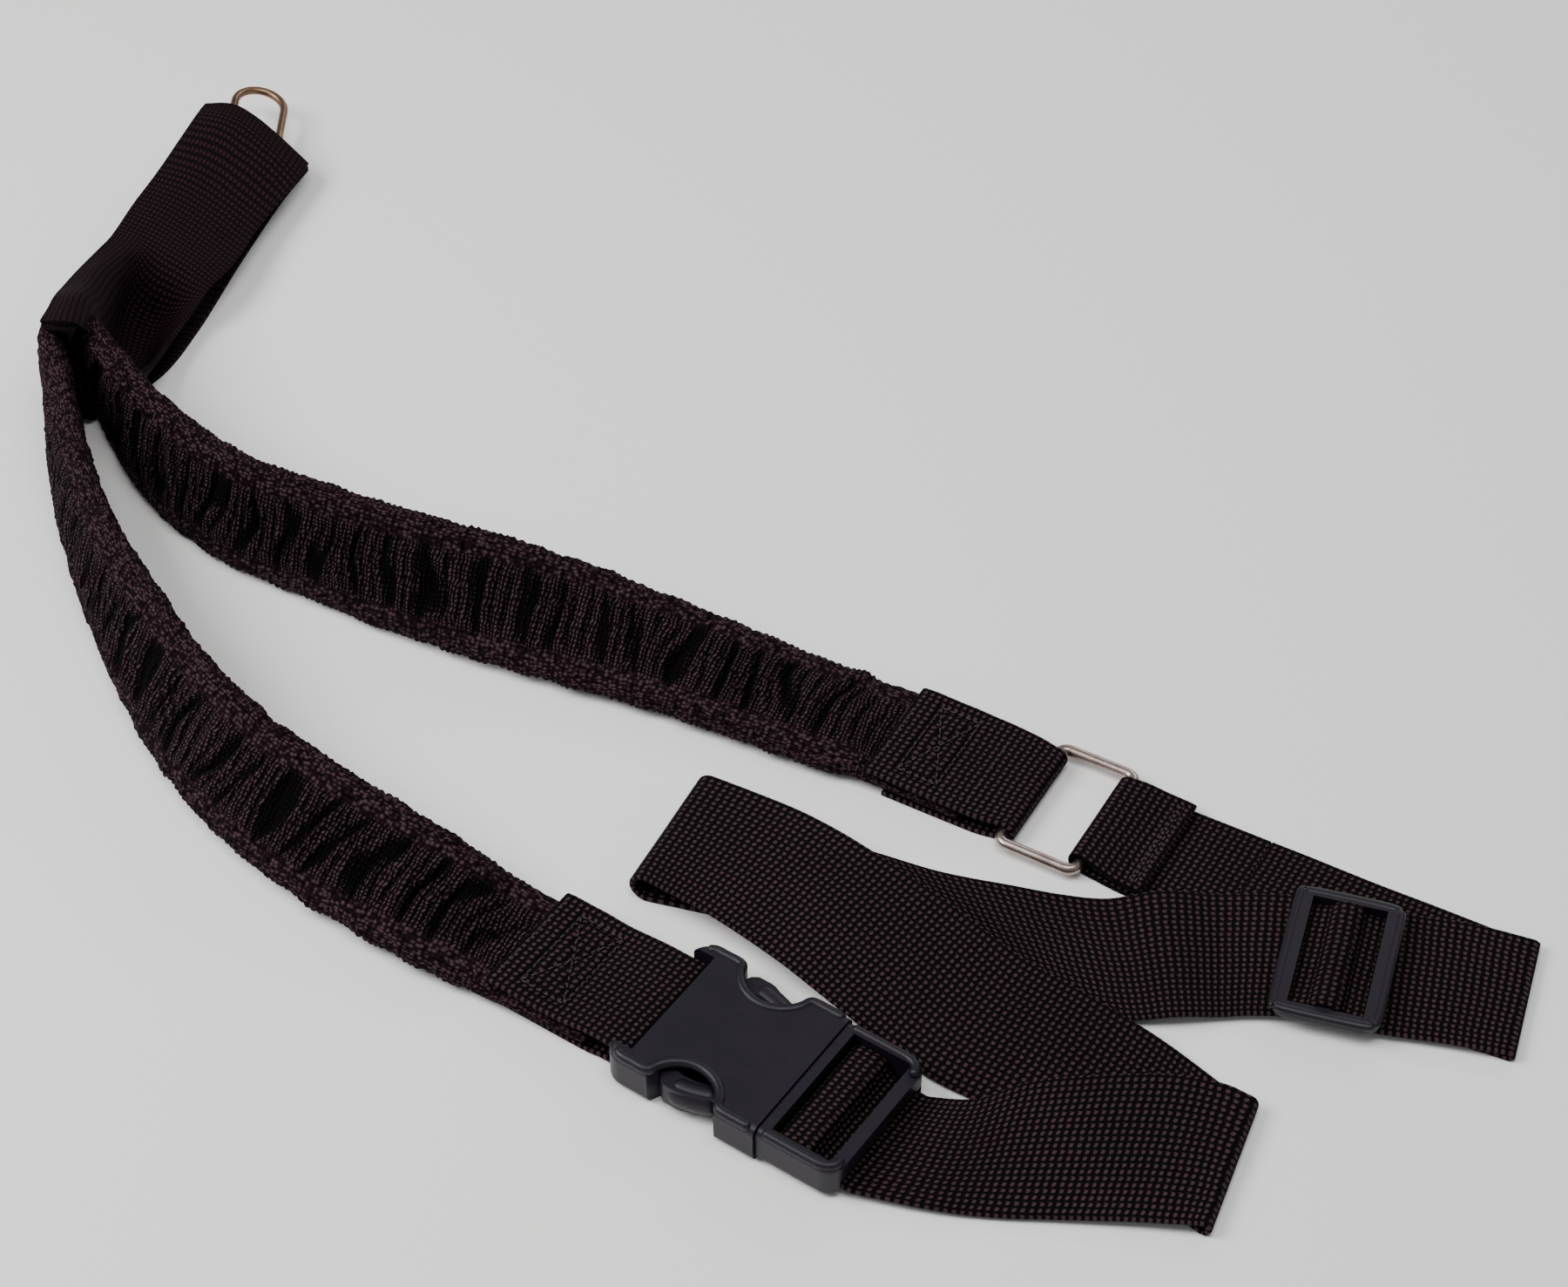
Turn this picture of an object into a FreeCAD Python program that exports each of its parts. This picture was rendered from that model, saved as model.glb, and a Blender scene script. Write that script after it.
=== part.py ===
import FreeCAD, Part
import math
import os

# Gait belt laid out on a table: two gathered sleeve arms folded at a tether loop, a side-release buckle,
# a rectangular ring, a tri-glide and one long adjuster webbing. Millimetres, +Z up, table at z = 0.

doc = FreeCAD.newDocument("gait_belt")
sheet = doc.addObject("Spreadsheet::Sheet", "Dimensions")

SIZES = {
    # webbing
    "webbing_thick": 1.6, "adjuster_wide": 44.0, "threaded_wide": 38.0, "tab_wide": 38.0,
    # gathered sleeve and the elastic inside it
    "sleeve_wide": 37.0, "sleeve_thick": 10.0, "fold_lift": 2.6, "fold_gap": 1.5,
    "elastic_wide": 22.0, "elastic_thick": 2.0, "cavity_clear": 0.4,
    # clearances
    "run_clear": 0.3, "wrap_clear": 0.3, "latch_clear": 0.3,
    # rectangular ring
    "ring_wire": 3.5, "ring_inner_long": 38.5, "ring_inner_short": 20.8, "ring_corner": 3.0,
    # tri-glide
    "glide_long": 47.0, "glide_short": 31.8, "glide_thick": 4.0, "glide_slot": 39.5, "glide_side": 5.3,
    "glide_bar": 5.2, "glide_bar_thick": 3.0, "glide_corner": 6.0,
    # buckle housing
    "housing_long": 50.0, "housing_wide": 47.4, "housing_thick": 13.4, "plate": 2.2, "side_wall": 4.0,
    "mouth_deep": 37.0, "ear_long": 7.0, "tab_bar_radius": 2.2, "scallop_radius": 11.1,
    "scallop_in": 23.0, "scallop_reach": 9.4,
    # buckle frame
    "frame_long": 26.5, "frame_wide": 45.6, "frame_thick": 12.0, "window_start": 2.4, "end_bar": 5.0,
    "end_bar_thick": 6.5, "ladder_from": 6.0, "ladder_wide": 7.0, "ladder_low": 4.2, "ladder_thick": 4.2,
    "tongue_long": 30.0, "tongue_wide": 7.0, "tongue_thick": 5.0,
    # prongs
    "prong_long": 34.0, "prong_thick": 7.6, "prong_root": 15.0, "prong_pivot_radius": 1.8,
    "button_reach": 22.5, "release_travel": 30.0, "release_degrees": 14.0,
    # tether
    "tether_ring_wire": 2.8, "tether_ring_wide": 20.0, "tether_ring_long": 31.0, "inner_strap_wide": 12.0,
    # stitching
    "thread_wide": 0.9, "thread_high": 0.25,
}
for row, (name, value) in enumerate(SIZES.items(), start=1):
    sheet.set("A%d" % row, name)
    sheet.set("B%d" % row, "%g" % value)
    sheet.setAlias("B%d" % row, name)
doc.recompute()


def size(name):
    return float(getattr(sheet, name))


def bind(obj, **rules):
    for prop, rule in rules.items():
        obj.setExpression(prop.replace("__", "."), rule)
    return obj


# ---------------------------------------------------------------- layout on the table
# The layout is drawn in its own plan frame, then moved so that the origin is under the middle of the whole.
SHIFT = FreeCAD.Vector(-0.55, 5.0, 0.0)


def at(x, y, z=0.0):
    return FreeCAD.Vector(x, y, z) + SHIFT


def turned(x, y, z, degrees):
    return FreeCAD.Placement(at(x, y, z), FreeCAD.Rotation(FreeCAD.Vector(0, 0, 1), degrees))


def along(degrees, distance=1.0):
    angle = math.radians(degrees)
    return FreeCAD.Vector(math.cos(angle), math.sin(angle), 0) * distance


THICK = size("webbing_thick")
LOW = THICK / 2                                    # middle of webbing that lies on the table
SECOND = LOW + THICK + 0.8                         # middle of webbing that lies on one layer

BUCKLE = (18.1, -202.0, -34.6)                     # seam of the buckle: x, y, turn
RING = (95.1, -97.9, -29.5)
GLIDE = (166.6, -157.0, -16.5)
TETHER_AXIS = 73.0
MALE_LIFT = 0.7                                    # frame stands this far off the table


# ---------------------------------------------------------------- ribbons of webbing
def section_wire(centre, across, up, wide, thick):
    a = across * (wide / 2)
    b = up * (thick / 2)
    corners = [centre - a - b, centre + a - b, centre + a + b, centre - a + b]
    return Part.makePolygon(corners + [corners[0]])


def oval_wire(centre, across, up, wide, thick):
    ellipse = Part.Ellipse(FreeCAD.Vector(0, 0, 0), wide / 2, thick / 2)
    edge = ellipse.toShape()
    forward = across.cross(up)
    matrix = FreeCAD.Matrix(across.x, up.x, forward.x, centre.x, across.y, up.y, forward.y, centre.y,
                            across.z, up.z, forward.z, centre.z, 0, 0, 0, 1)
    return Part.Wire([edge.transformGeometry(matrix)])


def ribbon(stations, thick, start_way=None, end_way=None):
    """A strip of webbing through stations, each a pair of edge points; the ways set its end sections square."""
    middles = [(far + near) * 0.5 for far, near in stations]
    wires = []
    for index, (far, near) in enumerate(stations):
        before = middles[max(index - 1, 0)]
        after = middles[min(index + 1, len(middles) - 1)]
        across = (far - near).normalize()
        way = after - before
        if index == 0 and start_way is not None:
            way = start_way
        if index == len(middles) - 1 and end_way is not None:
            way = end_way
        up = way.cross(across).normalize()
        wires.append(section_wire(middles[index], across, up, (far - near).Length, thick))
    return Part.makeLoft(wires, True, True)


def band(path, thick, wide):
    """A strip bent in its own XZ plane: path points (x, z) are its middle line, wide is along Y."""
    points = [FreeCAD.Vector(x, 0, z) for x, z in path]
    left, right = [], []
    for index, point in enumerate(points):
        before = points[max(index - 1, 0)]
        after = points[min(index + 1, len(points) - 1)]
        into = (point - before) if index else (after - point)
        out = (after - point) if index < len(points) - 1 else into
        into.normalize()
        out.normalize()
        middle = (into + out).normalize()
        normal = FreeCAD.Vector(-middle.z, 0, middle.x)
        reach = thick / 2 / max(middle.dot(into), 0.5)
        left.append(point + normal * reach)
        right.append(point - normal * reach)
    outline = left + right[::-1]
    face = Part.Face(Part.makePolygon(outline + [outline[0]]))
    face.translate(FreeCAD.Vector(0, -wide / 2, 0))
    return face.extrude(FreeCAD.Vector(0, wide, 0))


def arc(centre_x, centre_z, radius, start, end, steps):
    """Points of an arc in an XZ plane, in degrees from +X towards +Z."""
    points = []
    for step in range(steps + 1):
        angle = math.radians(start + (end - start) * step / steps)
        points.append((centre_x + radius * math.cos(angle), centre_z + radius * math.sin(angle)))
    return points


def made(name, shape, placement=None):
    piece = doc.addObject("Part::Feature", name)
    piece.Shape = shape
    if placement is not None:
        piece.Placement = placement
    return piece


PIECES = []


def keep(piece, node):
    piece.Label = node
    PIECES.append(piece)
    return piece


# ---------------------------------------------------------------- gathered sleeve arms
FOLD = at(-212.5, 74.0)                            # inner crease of the belt's fold, inside the tether loop

# stations of each arm from the fold outwards: x, y, roll (90 stands on edge, 0 lies flat)
BUCKLE_ARM = [(-209.5, 30.5, 79), (-196, -8.5, 76), (-179.5, -42.5, 67), (-161.5, -73.5, 59),
              (-141, -98.5, 51), (-118.5, -117.5, 39), (-96, -132, 25), (-78, -142.5, 12)]
RING_ARM = [(-184, 40.5, 76), (-157.5, 13.5, 72), (-128, -2.5, 67), (-100, -15.5, 58), (-72, -25, 42),
            (-44, -33.5, 24), (-17, -42.5, 10), (10, -55, 4), (30, -64.5, 2)]


def arm_frame(stations, first_heading):
    """Middle point, across and up vectors and share of thickness for each station of an arm."""
    wide = size("sleeve_wide")
    thick = size("sleeve_thick")
    frames = []
    for index, (x, y, roll, high, share) in enumerate(stations):
        before = stations[max(index - 1, 0)]
        after = stations[min(index + 1, len(stations) - 1)]
        forward = FreeCAD.Vector(after[0] - before[0], after[1] - before[1], 0).normalize()
        if index == 0:
            forward = along(first_heading)
        side = FreeCAD.Vector(-forward.y, forward.x, 0)
        angle = math.radians(roll)
        across = side * math.cos(angle) + FreeCAD.Vector(0, 0, 1) * math.sin(angle)
        up = forward.cross(across)
        rest = wide / 2 * math.sin(angle) + thick / 2 * math.cos(angle)
        z = rest if high is None else high
        frames.append((at(x, y, z), across, up, share))
    return frames


def arm_stations(start, middle, end):
    lifted = size("sleeve_wide") / 2 + size("fold_lift")
    first = (start.x - SHIFT.x, start.y - SHIFT.y, 90, lifted, 1.0)
    body = [(x, y, roll, None, 1.0) for x, y, roll in middle]
    return [first] + body + end


def tube_loft(frames, wide, thick, flattened):
    wires = []
    for centre, across, up, share in frames:
        wires.append(oval_wire(centre, across, up, wide, thick * share if flattened else thick))
    return Part.makeLoft(wires, True, True)


fold_reach = size("fold_gap") + size("sleeve_thick") / 2
buckle_start_heading = 282.0                       # plan direction in which each arm leaves the fold
ring_start_heading = 307.0
buckle_start = FOLD + along(buckle_start_heading - 90, fold_reach)
ring_start = FOLD + along(ring_start_heading + 90, fold_reach)

# each arm's flattened end runs between the two plies of its tab: x, y, roll, height, share of thickness
TAB_SPACE = 3.9                                    # middle height of the sleeve between the plies
buckle_frames = arm_frame(arm_stations(buckle_start, BUCKLE_ARM,
                                       [(-60.5, -150.5, 2, TAB_SPACE, 0.46), (-32, -167.5, 0, TAB_SPACE, 0.40)]),
                          buckle_start_heading)
ring_frames = arm_frame(arm_stations(ring_start, RING_ARM,
                                     [(45.6, -70.1, 0, TAB_SPACE, 0.46), (72, -85, 0, TAB_SPACE, 0.40)]),
                        ring_start_heading)


def make_arm(name, frames):
    wide = size("sleeve_wide")
    outer = tube_loft(frames, wide, size("sleeve_thick"), True)
    hollow_wide = size("elastic_wide") + 2 * size("cavity_clear")
    hollow_thick = size("elastic_thick") + 2 * size("cavity_clear")
    hollow_wires = []
    elastic_wires = []
    for centre, across, up, share in frames:
        hollow_wires.append(section_wire(centre, across, up, hollow_wide, hollow_thick))
        elastic_wires.append(section_wire(centre, across, up, size("elastic_wide"), size("elastic_thick")))
    hollow = Part.makeLoft(hollow_wires, True, True)
    elastic = Part.makeLoft(elastic_wires, True, True)
    keep(made(name + "Sleeve", outer.cut(hollow)), name + "_sleeve")
    keep(made(name + "Elastic", elastic), name + "_elastic")


make_arm("buckle_arm", buckle_frames)
make_arm("ring_arm", ring_frames)

# the fold itself: the sleeve section turned about the crease from one arm's end to the other's
fold_centre, fold_across, fold_up, _ = buckle_frames[0]
fold_sweep = -(180 - (ring_start_heading - buckle_start_heading))
start_side = along(buckle_start_heading - 90)
fold_wire = oval_wire(fold_centre, FreeCAD.Vector(0, 0, 1), start_side, size("sleeve_wide"), size("sleeve_thick"))
fold_solid = Part.Face(fold_wire).revolve(FOLD, FreeCAD.Vector(0, 0, 1), fold_sweep)
keep(made("SleeveFold", fold_solid), "sleeve_fold")


# ---------------------------------------------------------------- sewn tabs
TAB_LONG = 46.0                                    # from the hem to the bar it wraps


def tab_path(bar_z, bar_radius, long):
    """Top ply from the hem, round the bar and back underneath."""
    wrap = bar_radius + size("wrap_clear") + THICK / 2
    top = [(-long, 8.3), (-long + 8, 8.2), (-long + 22, 7.5), (-wrap - 6, bar_z + wrap + 0.3)]
    turn = arc(0, bar_z, wrap, 90, -90, 12)
    bottom_z = max(bar_z - wrap, LOW)
    bottom = [(-wrap - 4, bottom_z if bar_z - wrap < 1.4 else (bottom_z + LOW) / 2), (-14, LOW), (-long + 6, LOW)]
    return top + turn + bottom


RING_BAR_Z = THICK + size("wrap_clear") + size("ring_wire") / 2
ring_pitch_short = size("ring_inner_short") + size("ring_wire")
ring_pitch_long = size("ring_inner_long") + size("ring_wire")
ring_centre = at(RING[0], RING[1], RING_BAR_Z)
tab_bar_point = ring_centre - along(RING[2], ring_pitch_short / 2)
turn_wide = ring_pitch_long - 2 * size("ring_corner") - 2 * size("run_clear")


def make_ring_tab():
    path = tab_path(RING_BAR_Z, size("ring_wire") / 2, TAB_LONG - 1.0)
    whole = band(path, THICK, size("tab_wide"))
    trim = Part.makeBox(30, 30, 30)
    turn_half = turn_wide / 2
    for side in (1, -1):
        cutter = trim.copy()
        cutter.translate(FreeCAD.Vector(-2.4, turn_half if side > 0 else -turn_half - 30, -10))
        whole = whole.cut(cutter)
    base = FreeCAD.Vector(tab_bar_point.x, tab_bar_point.y, 0)
    return made("RingTab", whole, FreeCAD.Placement(base, FreeCAD.Rotation(FreeCAD.Vector(0, 0, 1), RING[2])))


keep(make_ring_tab(), "ring_tab")

HOUSING_BAR_X = -(size("housing_long") - 2.8)
HOUSING_BAR_Z = 5.2


def make_buckle_tab():
    path = tab_path(HOUSING_BAR_Z, size("tab_bar_radius"), TAB_LONG)
    shape = band(path, THICK, size("tab_wide"))
    base = at(BUCKLE[0], BUCKLE[1]) + along(BUCKLE[2], HOUSING_BAR_X)
    return made("BuckleTab", shape, FreeCAD.Placement(base, FreeCAD.Rotation(FreeCAD.Vector(0, 0, 1), BUCKLE[2])))


keep(make_buckle_tab(), "buckle_tab")


# ---------------------------------------------------------------- adjuster webbing on the table
def edge_points(centre_x, centre_y, heading, wide, far_z, near_z):
    """Edge points of a strip station: far is to the left of the heading, near to the right."""
    side = along(heading + 90, wide / 2)
    middle = at(centre_x, centre_y)
    return (middle + side + FreeCAD.Vector(0, 0, far_z), middle - side + FreeCAD.Vector(0, 0, near_z))


def strip(node, stations):
    return keep(made(node.title().replace("_", ""), ribbon([edge_points(*station) for station in stations], THICK)),
                node)


def flip_turn(point_far, point_near, outward, low_z, high_z, steps):
    """Stations of a fold that comes in low and leaves high, bulging along outward."""
    radius = (high_z - low_z) / 2
    stations = []
    for step in range(steps + 1):
        angle = math.radians(-90 + 180 * step / steps)
        push = outward * (radius * math.cos(angle)) + FreeCAD.Vector(0, 0, low_z + radius + radius * math.sin(angle))
        stations.append((point_far + push, point_near + push))
    return stations


WIDE = size("adjuster_wide")
THREADED = size("threaded_wide")

# lower run: from the ring loop's hem to the first fold
loop_long = 20.0
loop_reach = ring_pitch_short / 2 + loop_long
loop_end = FreeCAD.Vector(ring_centre.x, ring_centre.y, 0) + along(RING[2], loop_reach + size("run_clear"))
loop_side = along(RING[2] + 90, THREADED / 2)
lower_stations = [(loop_end + loop_side + FreeCAD.Vector(0, 0, LOW), loop_end - loop_side + FreeCAD.Vector(0, 0, LOW)),
                  edge_points(143, -126.5, -30.5, 41, LOW, LOW), edge_points(170, -143, -31, WIDE, LOW, LOW),
                  edge_points(196, -157, -25, WIDE, LOW, LOW)]
fold_far = at(223.2, -147.2)
fold_near = at(210.4, -187.6)
fold_out = along(-17.6)
lower_stations.append((fold_far + FreeCAD.Vector(0, 0, LOW), fold_near + FreeCAD.Vector(0, 0, LOW)))
keep(made("LowerRun", ribbon(lower_stations, THICK, along(RING[2]), fold_out)), "lower_run")
first_turn = flip_turn(fold_far, fold_near, fold_out, LOW, SECOND, 8)
keep(made("FirstFold", ribbon(first_turn, THICK, fold_out, fold_out * -1)), "first_fold")

# upper run: from the first fold, over the lower run and under the tri-glide, to the rolled left fold
upper_stations = [(fold_far + FreeCAD.Vector(0, 0, SECOND), fold_near + FreeCAD.Vector(0, 0, SECOND)),
                  edge_points(200, -162.5, -14, WIDE, SECOND, SECOND),
                  edge_points(180, -158.5, -13, WIDE, SECOND, SECOND),
                  edge_points(160, -153.5, -12, WIDE, SECOND, SECOND),
                  edge_points(140, -151.5, -7, WIDE, SECOND, SECOND),
                  edge_points(122, -153.6, 0, WIDE, SECOND, SECOND),
                  edge_points(101, -152.8, 8, WIDE, 2.4, 2.0), edge_points(83, -147.5, 15, WIDE, 1.4, LOW),
                  edge_points(66, -140.5, 21, WIDE, LOW, LOW), edge_points(50, -133, 25, WIDE, LOW, LOW),
                  edge_points(16, -122, 14, WIDE, LOW, LOW)]
roll_far = at(-7.2, -91.2)
roll_near = at(-26.4, -130.2)
upper_stations.append((roll_far + FreeCAD.Vector(0, 0, LOW), roll_near + FreeCAD.Vector(0, 0, LOW)))
roll_out = along(154)
keep(made("UpperRun", ribbon(upper_stations, THICK, fold_out * -1, roll_out)), "upper_run")

ROLL_TOP = 9.6
roll_turn = flip_turn(roll_far, roll_near, roll_out, LOW, ROLL_TOP, 10)
keep(made("RolledFold", ribbon(roll_turn, THICK, roll_out, roll_out * -1)), "rolled_fold")

# top run: from the rolled fold diagonally over the upper run and down to the second fold
turn_far = at(138.2, -203.2)
turn_near = at(122.1, -245.1)
turn_out = along(-21.0)
top_stations = [(roll_far + FreeCAD.Vector(0, 0, ROLL_TOP), roll_near + FreeCAD.Vector(0, 0, ROLL_TOP)),
                edge_points(5, -124, -36, WIDE, 11.5, 8.0), edge_points(25, -140, -40, WIDE, 12.5, 6.5),
                edge_points(46, -159, -41, WIDE, 12.5, 3.5), edge_points(65, -176, -37, WIDE, 10.0, 1.6),
                edge_points(83, -187, -33, WIDE, 7.0, 1.0), edge_points(101, -199, -32, WIDE, 4.0, LOW),
                edge_points(116, -210.5, -27, WIDE, 1.6, LOW),
                (turn_far - turn_out * 1.0 + FreeCAD.Vector(0, 0, LOW),
                 turn_near - turn_out * 1.0 + FreeCAD.Vector(0, 0, LOW))]
keep(made("TopRun", ribbon(top_stations, THICK, roll_out * -1, turn_out)), "top_run")


# ---------------------------------------------------------------- side-release buckle housing
def box(name, x, y, z, long, wide, high):
    """A box bound to the sheet; every rule is an expression in the sheet's names."""
    piece = doc.addObject("Part::Box", name)
    return bind(piece, Length=long, Width=wide, Height=high, Placement__Base__x=x, Placement__Base__y=y,
                Placement__Base__z=z)


def rod(name, x, y, z, radius, high, axis="z"):
    piece = doc.addObject("Part::Cylinder", name)
    turns = {"z": FreeCAD.Rotation(), "y": FreeCAD.Rotation(FreeCAD.Vector(1, 0, 0), -90),
             "x": FreeCAD.Rotation(FreeCAD.Vector(0, 1, 0), 90)}
    piece.Placement = FreeCAD.Placement(FreeCAD.Vector(0, 0, 0), turns[axis])
    return bind(piece, Radius=radius, Height=high, Placement__Base__x=x, Placement__Base__y=y,
                Placement__Base__z=z)


def joined(name, shapes):
    union = doc.addObject("Part::MultiFuse", name)
    union.Shapes = shapes
    return union


def cut(name, base, tools):
    tool = joined(name + "Tools", tools) if len(tools) > 1 else tools[0]
    result = doc.addObject("Part::Cut", name)
    result.Base = base
    result.Tool = tool
    return result


def rounded(name, base, radius, chosen):
    """Fillet of the edges that a test on their middle point and direction picks out."""
    doc.recompute()
    edges = []
    for index, edge in enumerate(base.Shape.Edges, start=1):
        if len(edge.Vertexes) != 2:
            continue
        middle = edge.valueAt((edge.FirstParameter + edge.LastParameter) / 2)
        direction = (edge.Vertexes[1].Point - edge.Vertexes[0].Point).normalize()
        if chosen(middle, direction):
            edges.append((index, radius, radius))
    fillet = doc.addObject("Part::Fillet", name)
    fillet.Base = base
    fillet.Edges = edges
    return fillet


D = "Dimensions."


def rule(text):
    """Expression text with the sheet's names written out in full."""
    for name in sorted(SIZES, key=len, reverse=True):
        text = text.replace("[" + name + "]", D + name)
    return text


def make_housing():
    block = box("HousingBlock", rule("-[housing_long]"), rule("-[housing_wide] / 2"), "0",
                rule("[housing_long]"), rule("[housing_wide]"), rule("[housing_thick]"))
    soft = rounded("HousingEnd", block, 6.0, lambda middle, way: abs(way.z) > 0.9 and middle.x < -1)
    softer = rounded("HousingRims", soft, 2.6, lambda middle, way: abs(way.z) < 0.5 and middle.x < -0.5)
    mouth = box("HousingMouth", rule("-[mouth_deep]"), rule("-[housing_wide] / 2 + [side_wall]"), rule("[plate]"),
                rule("[mouth_deep] + 1"), rule("[housing_wide] - 2 * [side_wall]"),
                rule("[housing_thick] - 2 * [plate]"))
    scallops = []
    for side, sign in (("Left", ""), ("Right", "-")):
        scallops.append(rod("Scallop" + side, rule("-[scallop_in] - 0.75"),
                            rule(sign + "([housing_wide] / 2 - [scallop_reach] + [scallop_radius])"), "-1",
                            rule("[scallop_radius]"), rule("[housing_thick] + 2")))
    slot = box("HousingTabSlot", rule("-[housing_long] - 1"), rule("-[tab_wide] / 2 - [wrap_clear]"), "-1",
               rule("[ear_long] + 1.4"), rule("[tab_wide] + 2 * [wrap_clear]"), rule("[housing_thick] + 2"))
    shell = cut("HousingShell", softer, [mouth, slot] + scallops)
    bar = rod("HousingBar", rule("-[housing_long] + 2.8"), rule("-[tab_wide] / 2 - 1.5"), "5.2",
              rule("[tab_bar_radius]"), rule("[tab_wide] + 3"), axis="y")
    housing = joined("Housing", [shell, bar])
    housing.Placement = turned(*BUCKLE[:2], 0, BUCKLE[2])
    return housing


keep(make_housing(), "buckle_housing")


# ---------------------------------------------------------------- buckle frame, prongs and its webbing
def make_frame():
    block = box("FrameBlock", "0.3", rule("-[frame_wide] / 2"), "0.7", rule("[frame_long] - 1.3"),
                rule("[frame_wide]"), rule("[frame_thick]"))
    soft = rounded("FrameEnd", block, 5.0, lambda middle, way: abs(way.z) > 0.9 and middle.x > 1)
    softer = rounded("FrameRims", soft, 2.2, lambda middle, way: abs(way.z) < 0.5 and middle.x > 1)
    window = box("FrameWindow", rule("[window_start] + 1"), rule("-[threaded_wide] / 2 - 0.5"), "0",
                 rule("[frame_long] - 1 - [window_start] - 1 - [end_bar] + 1"), rule("[threaded_wide] + 1"), "20")
    under = box("FrameUnder", rule("[frame_long] - 7"), rule("-[threaded_wide] / 2 - 0.5"), "0", "10",
                rule("[threaded_wide] + 1"), rule("0.7 + [frame_thick] - [end_bar_thick]"))
    top = box("FrameEndTop", rule("[frame_long] - 7"), rule("-[threaded_wide] / 2 - 0.5"), "11.2", "10",
              rule("[threaded_wide] + 1"), "5")
    ring = cut("FrameRing", softer, [window, under, top])
    ladder = box("FrameLadder", rule("[ladder_from]"), rule("-[threaded_wide] / 2 - 1"), rule("[ladder_low]"),
                 rule("[ladder_wide]"), rule("[threaded_wide] + 2"), rule("[ladder_thick]"))
    smooth = rounded("FrameLadderRims", ladder, 1.4, lambda middle, way: abs(way.y) > 0.9)
    root = box("FrameRoot", "-3.4", "-19.2", "2.9", "3.8", "38.4", "7.6")
    tongue = box("FrameTongue", rule("-[tongue_long]"), rule("-[tongue_wide] / 2"), rule("6.7 - [tongue_thick] / 2"),
                 rule("[tongue_long] + 0.5"), rule("[tongue_wide]"), rule("[tongue_thick]"))
    tip = rounded("FrameTongueTip", tongue, 2.4, lambda middle, way: middle.x < -1 and abs(way.z) > 0.9)
    whole = joined("FrameWhole", [ring, smooth, root, tip])
    seats = []
    for side, sign in (("Left", ""), ("Right", "-")):
        seats.append(rod("ProngSeat" + side, "-3", rule(sign + "[prong_root]"), "1",
                         rule("[prong_pivot_radius] + [latch_clear]"), "11"))
    frame = cut("Frame", whole, seats)
    frame.Placement = turned(*BUCKLE[:2], 0, BUCKLE[2])
    return frame


keep(make_frame(), "buckle_frame")

PIVOT_X = -3.0


def make_prong(node, sign):
    """Knuckle at the frame, a slim arm and the pressing button that fills the side opening."""
    root = size("prong_root")
    outline = [(PIVOT_X, root + 1.7), (-9, 17.0), (-13.5, 18.2), (-15.5, 19.0), (-17.5, 19.7), (-20.0, 20.5),
               (-22.0, 21.3), (-24.2, 22.3), (-26.0, 22.6), (-30.0, 22.6), (-31.8, 21.4), (-32.8, 19.4),
               (-33.6, 16.8), (-33.0, 15.8), (-31.0, 16.2), (-27.0, 17.0), (-22.0, 16.6), (-16.0, 15.2),
               (-9, 13.8), (PIVOT_X, root - 1.7)]
    low = 6.7 - size("prong_thick") / 2
    points = [FreeCAD.Vector(x, y * sign, low) for x, y in outline]
    arm = Part.Face(Part.makePolygon(points + [points[0]])).extrude(FreeCAD.Vector(0, 0, size("prong_thick")))
    knuckle = Part.makeCylinder(size("prong_pivot_radius"), size("prong_thick"),
                                FreeCAD.Vector(PIVOT_X, root * sign, low))
    solid = arm.fuse(knuckle).removeSplitter()
    keep(made(node.title().replace("_", ""), solid, turned(*BUCKLE[:2], 0, BUCKLE[2])), node)


make_prong("prong_left", 1)
make_prong("prong_right", -1)

# webbing of the adjuster in the buckle: tail underneath, up in front of the ladder bar, over it and down
ladder_mid = size("ladder_from") + size("ladder_wide") / 2
ladder_top = size("ladder_low") + size("ladder_thick")
front_x = size("ladder_from") - size("wrap_clear") - THICK / 2 - 0.2
back_x = size("ladder_from") + size("ladder_wide") + size("wrap_clear") + THICK / 2 + 0.2
over_z = ladder_top + size("wrap_clear") + THICK / 2
wrap_path = [(22.0, LOW), (front_x + 2.6, LOW), (front_x + 0.6, LOW + 0.7), (front_x, LOW + 2.2),
             (front_x, over_z - 1.6), (front_x + 0.5, over_z - 0.5), (front_x + 1.6, over_z),
             (back_x - 1.6, over_z), (back_x - 0.5, over_z - 0.5), (back_x, over_z - 1.6), (back_x + 0.7, over_z - 3.4),
             (back_x + 2.0, 4.2), (back_x + 4.2, 3.3), (28.0, 3.3)]
keep(made("BuckleWrap", band(wrap_path, THICK, THREADED), turned(*BUCKLE[:2], 0, BUCKLE[2])), "buckle_wrap")


def buckle_point(x, y, z):
    side = along(BUCKLE[2] + 90, y)
    return at(BUCKLE[0], BUCKLE[1], z) + along(BUCKLE[2], x) + side


RETURN_END = [(at(138.2, -203.2, 5.2), at(122.1, -245.1, 4.6))]
return_stations = [(buckle_point(28.0, THREADED / 2, 3.3), buckle_point(28.0, -THREADED / 2, 3.3)),
                   (at(65, -204.6, 5.4), at(51, -238.5, 2.6)), (at(79, -200.2, 7.2), at(67, -240.5, 1.8)),
                   (at(95, -198.4, 7.6), at(84, -241.5, 2.2)), (at(117, -197.4, 6.8), at(104, -243, 3.4)),
                   (at(131, -199.6, 5.8), at(117, -244.4, 4.2))] + RETURN_END
keep(made("ReturnRun", ribbon(return_stations, THICK, along(BUCKLE[2]), turn_out)), "return_run")
second_turn = []
for step in range(9):
    angle = math.radians(90 - 180 * step / 8)
    pair = []
    for point in RETURN_END[0]:
        radius = (point.z - LOW) / 2
        push = turn_out * (radius * math.cos(angle)) + FreeCAD.Vector(0, 0, radius * (math.sin(angle) - 1))
        pair.append(point + push)
    second_turn.append(tuple(pair))
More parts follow.
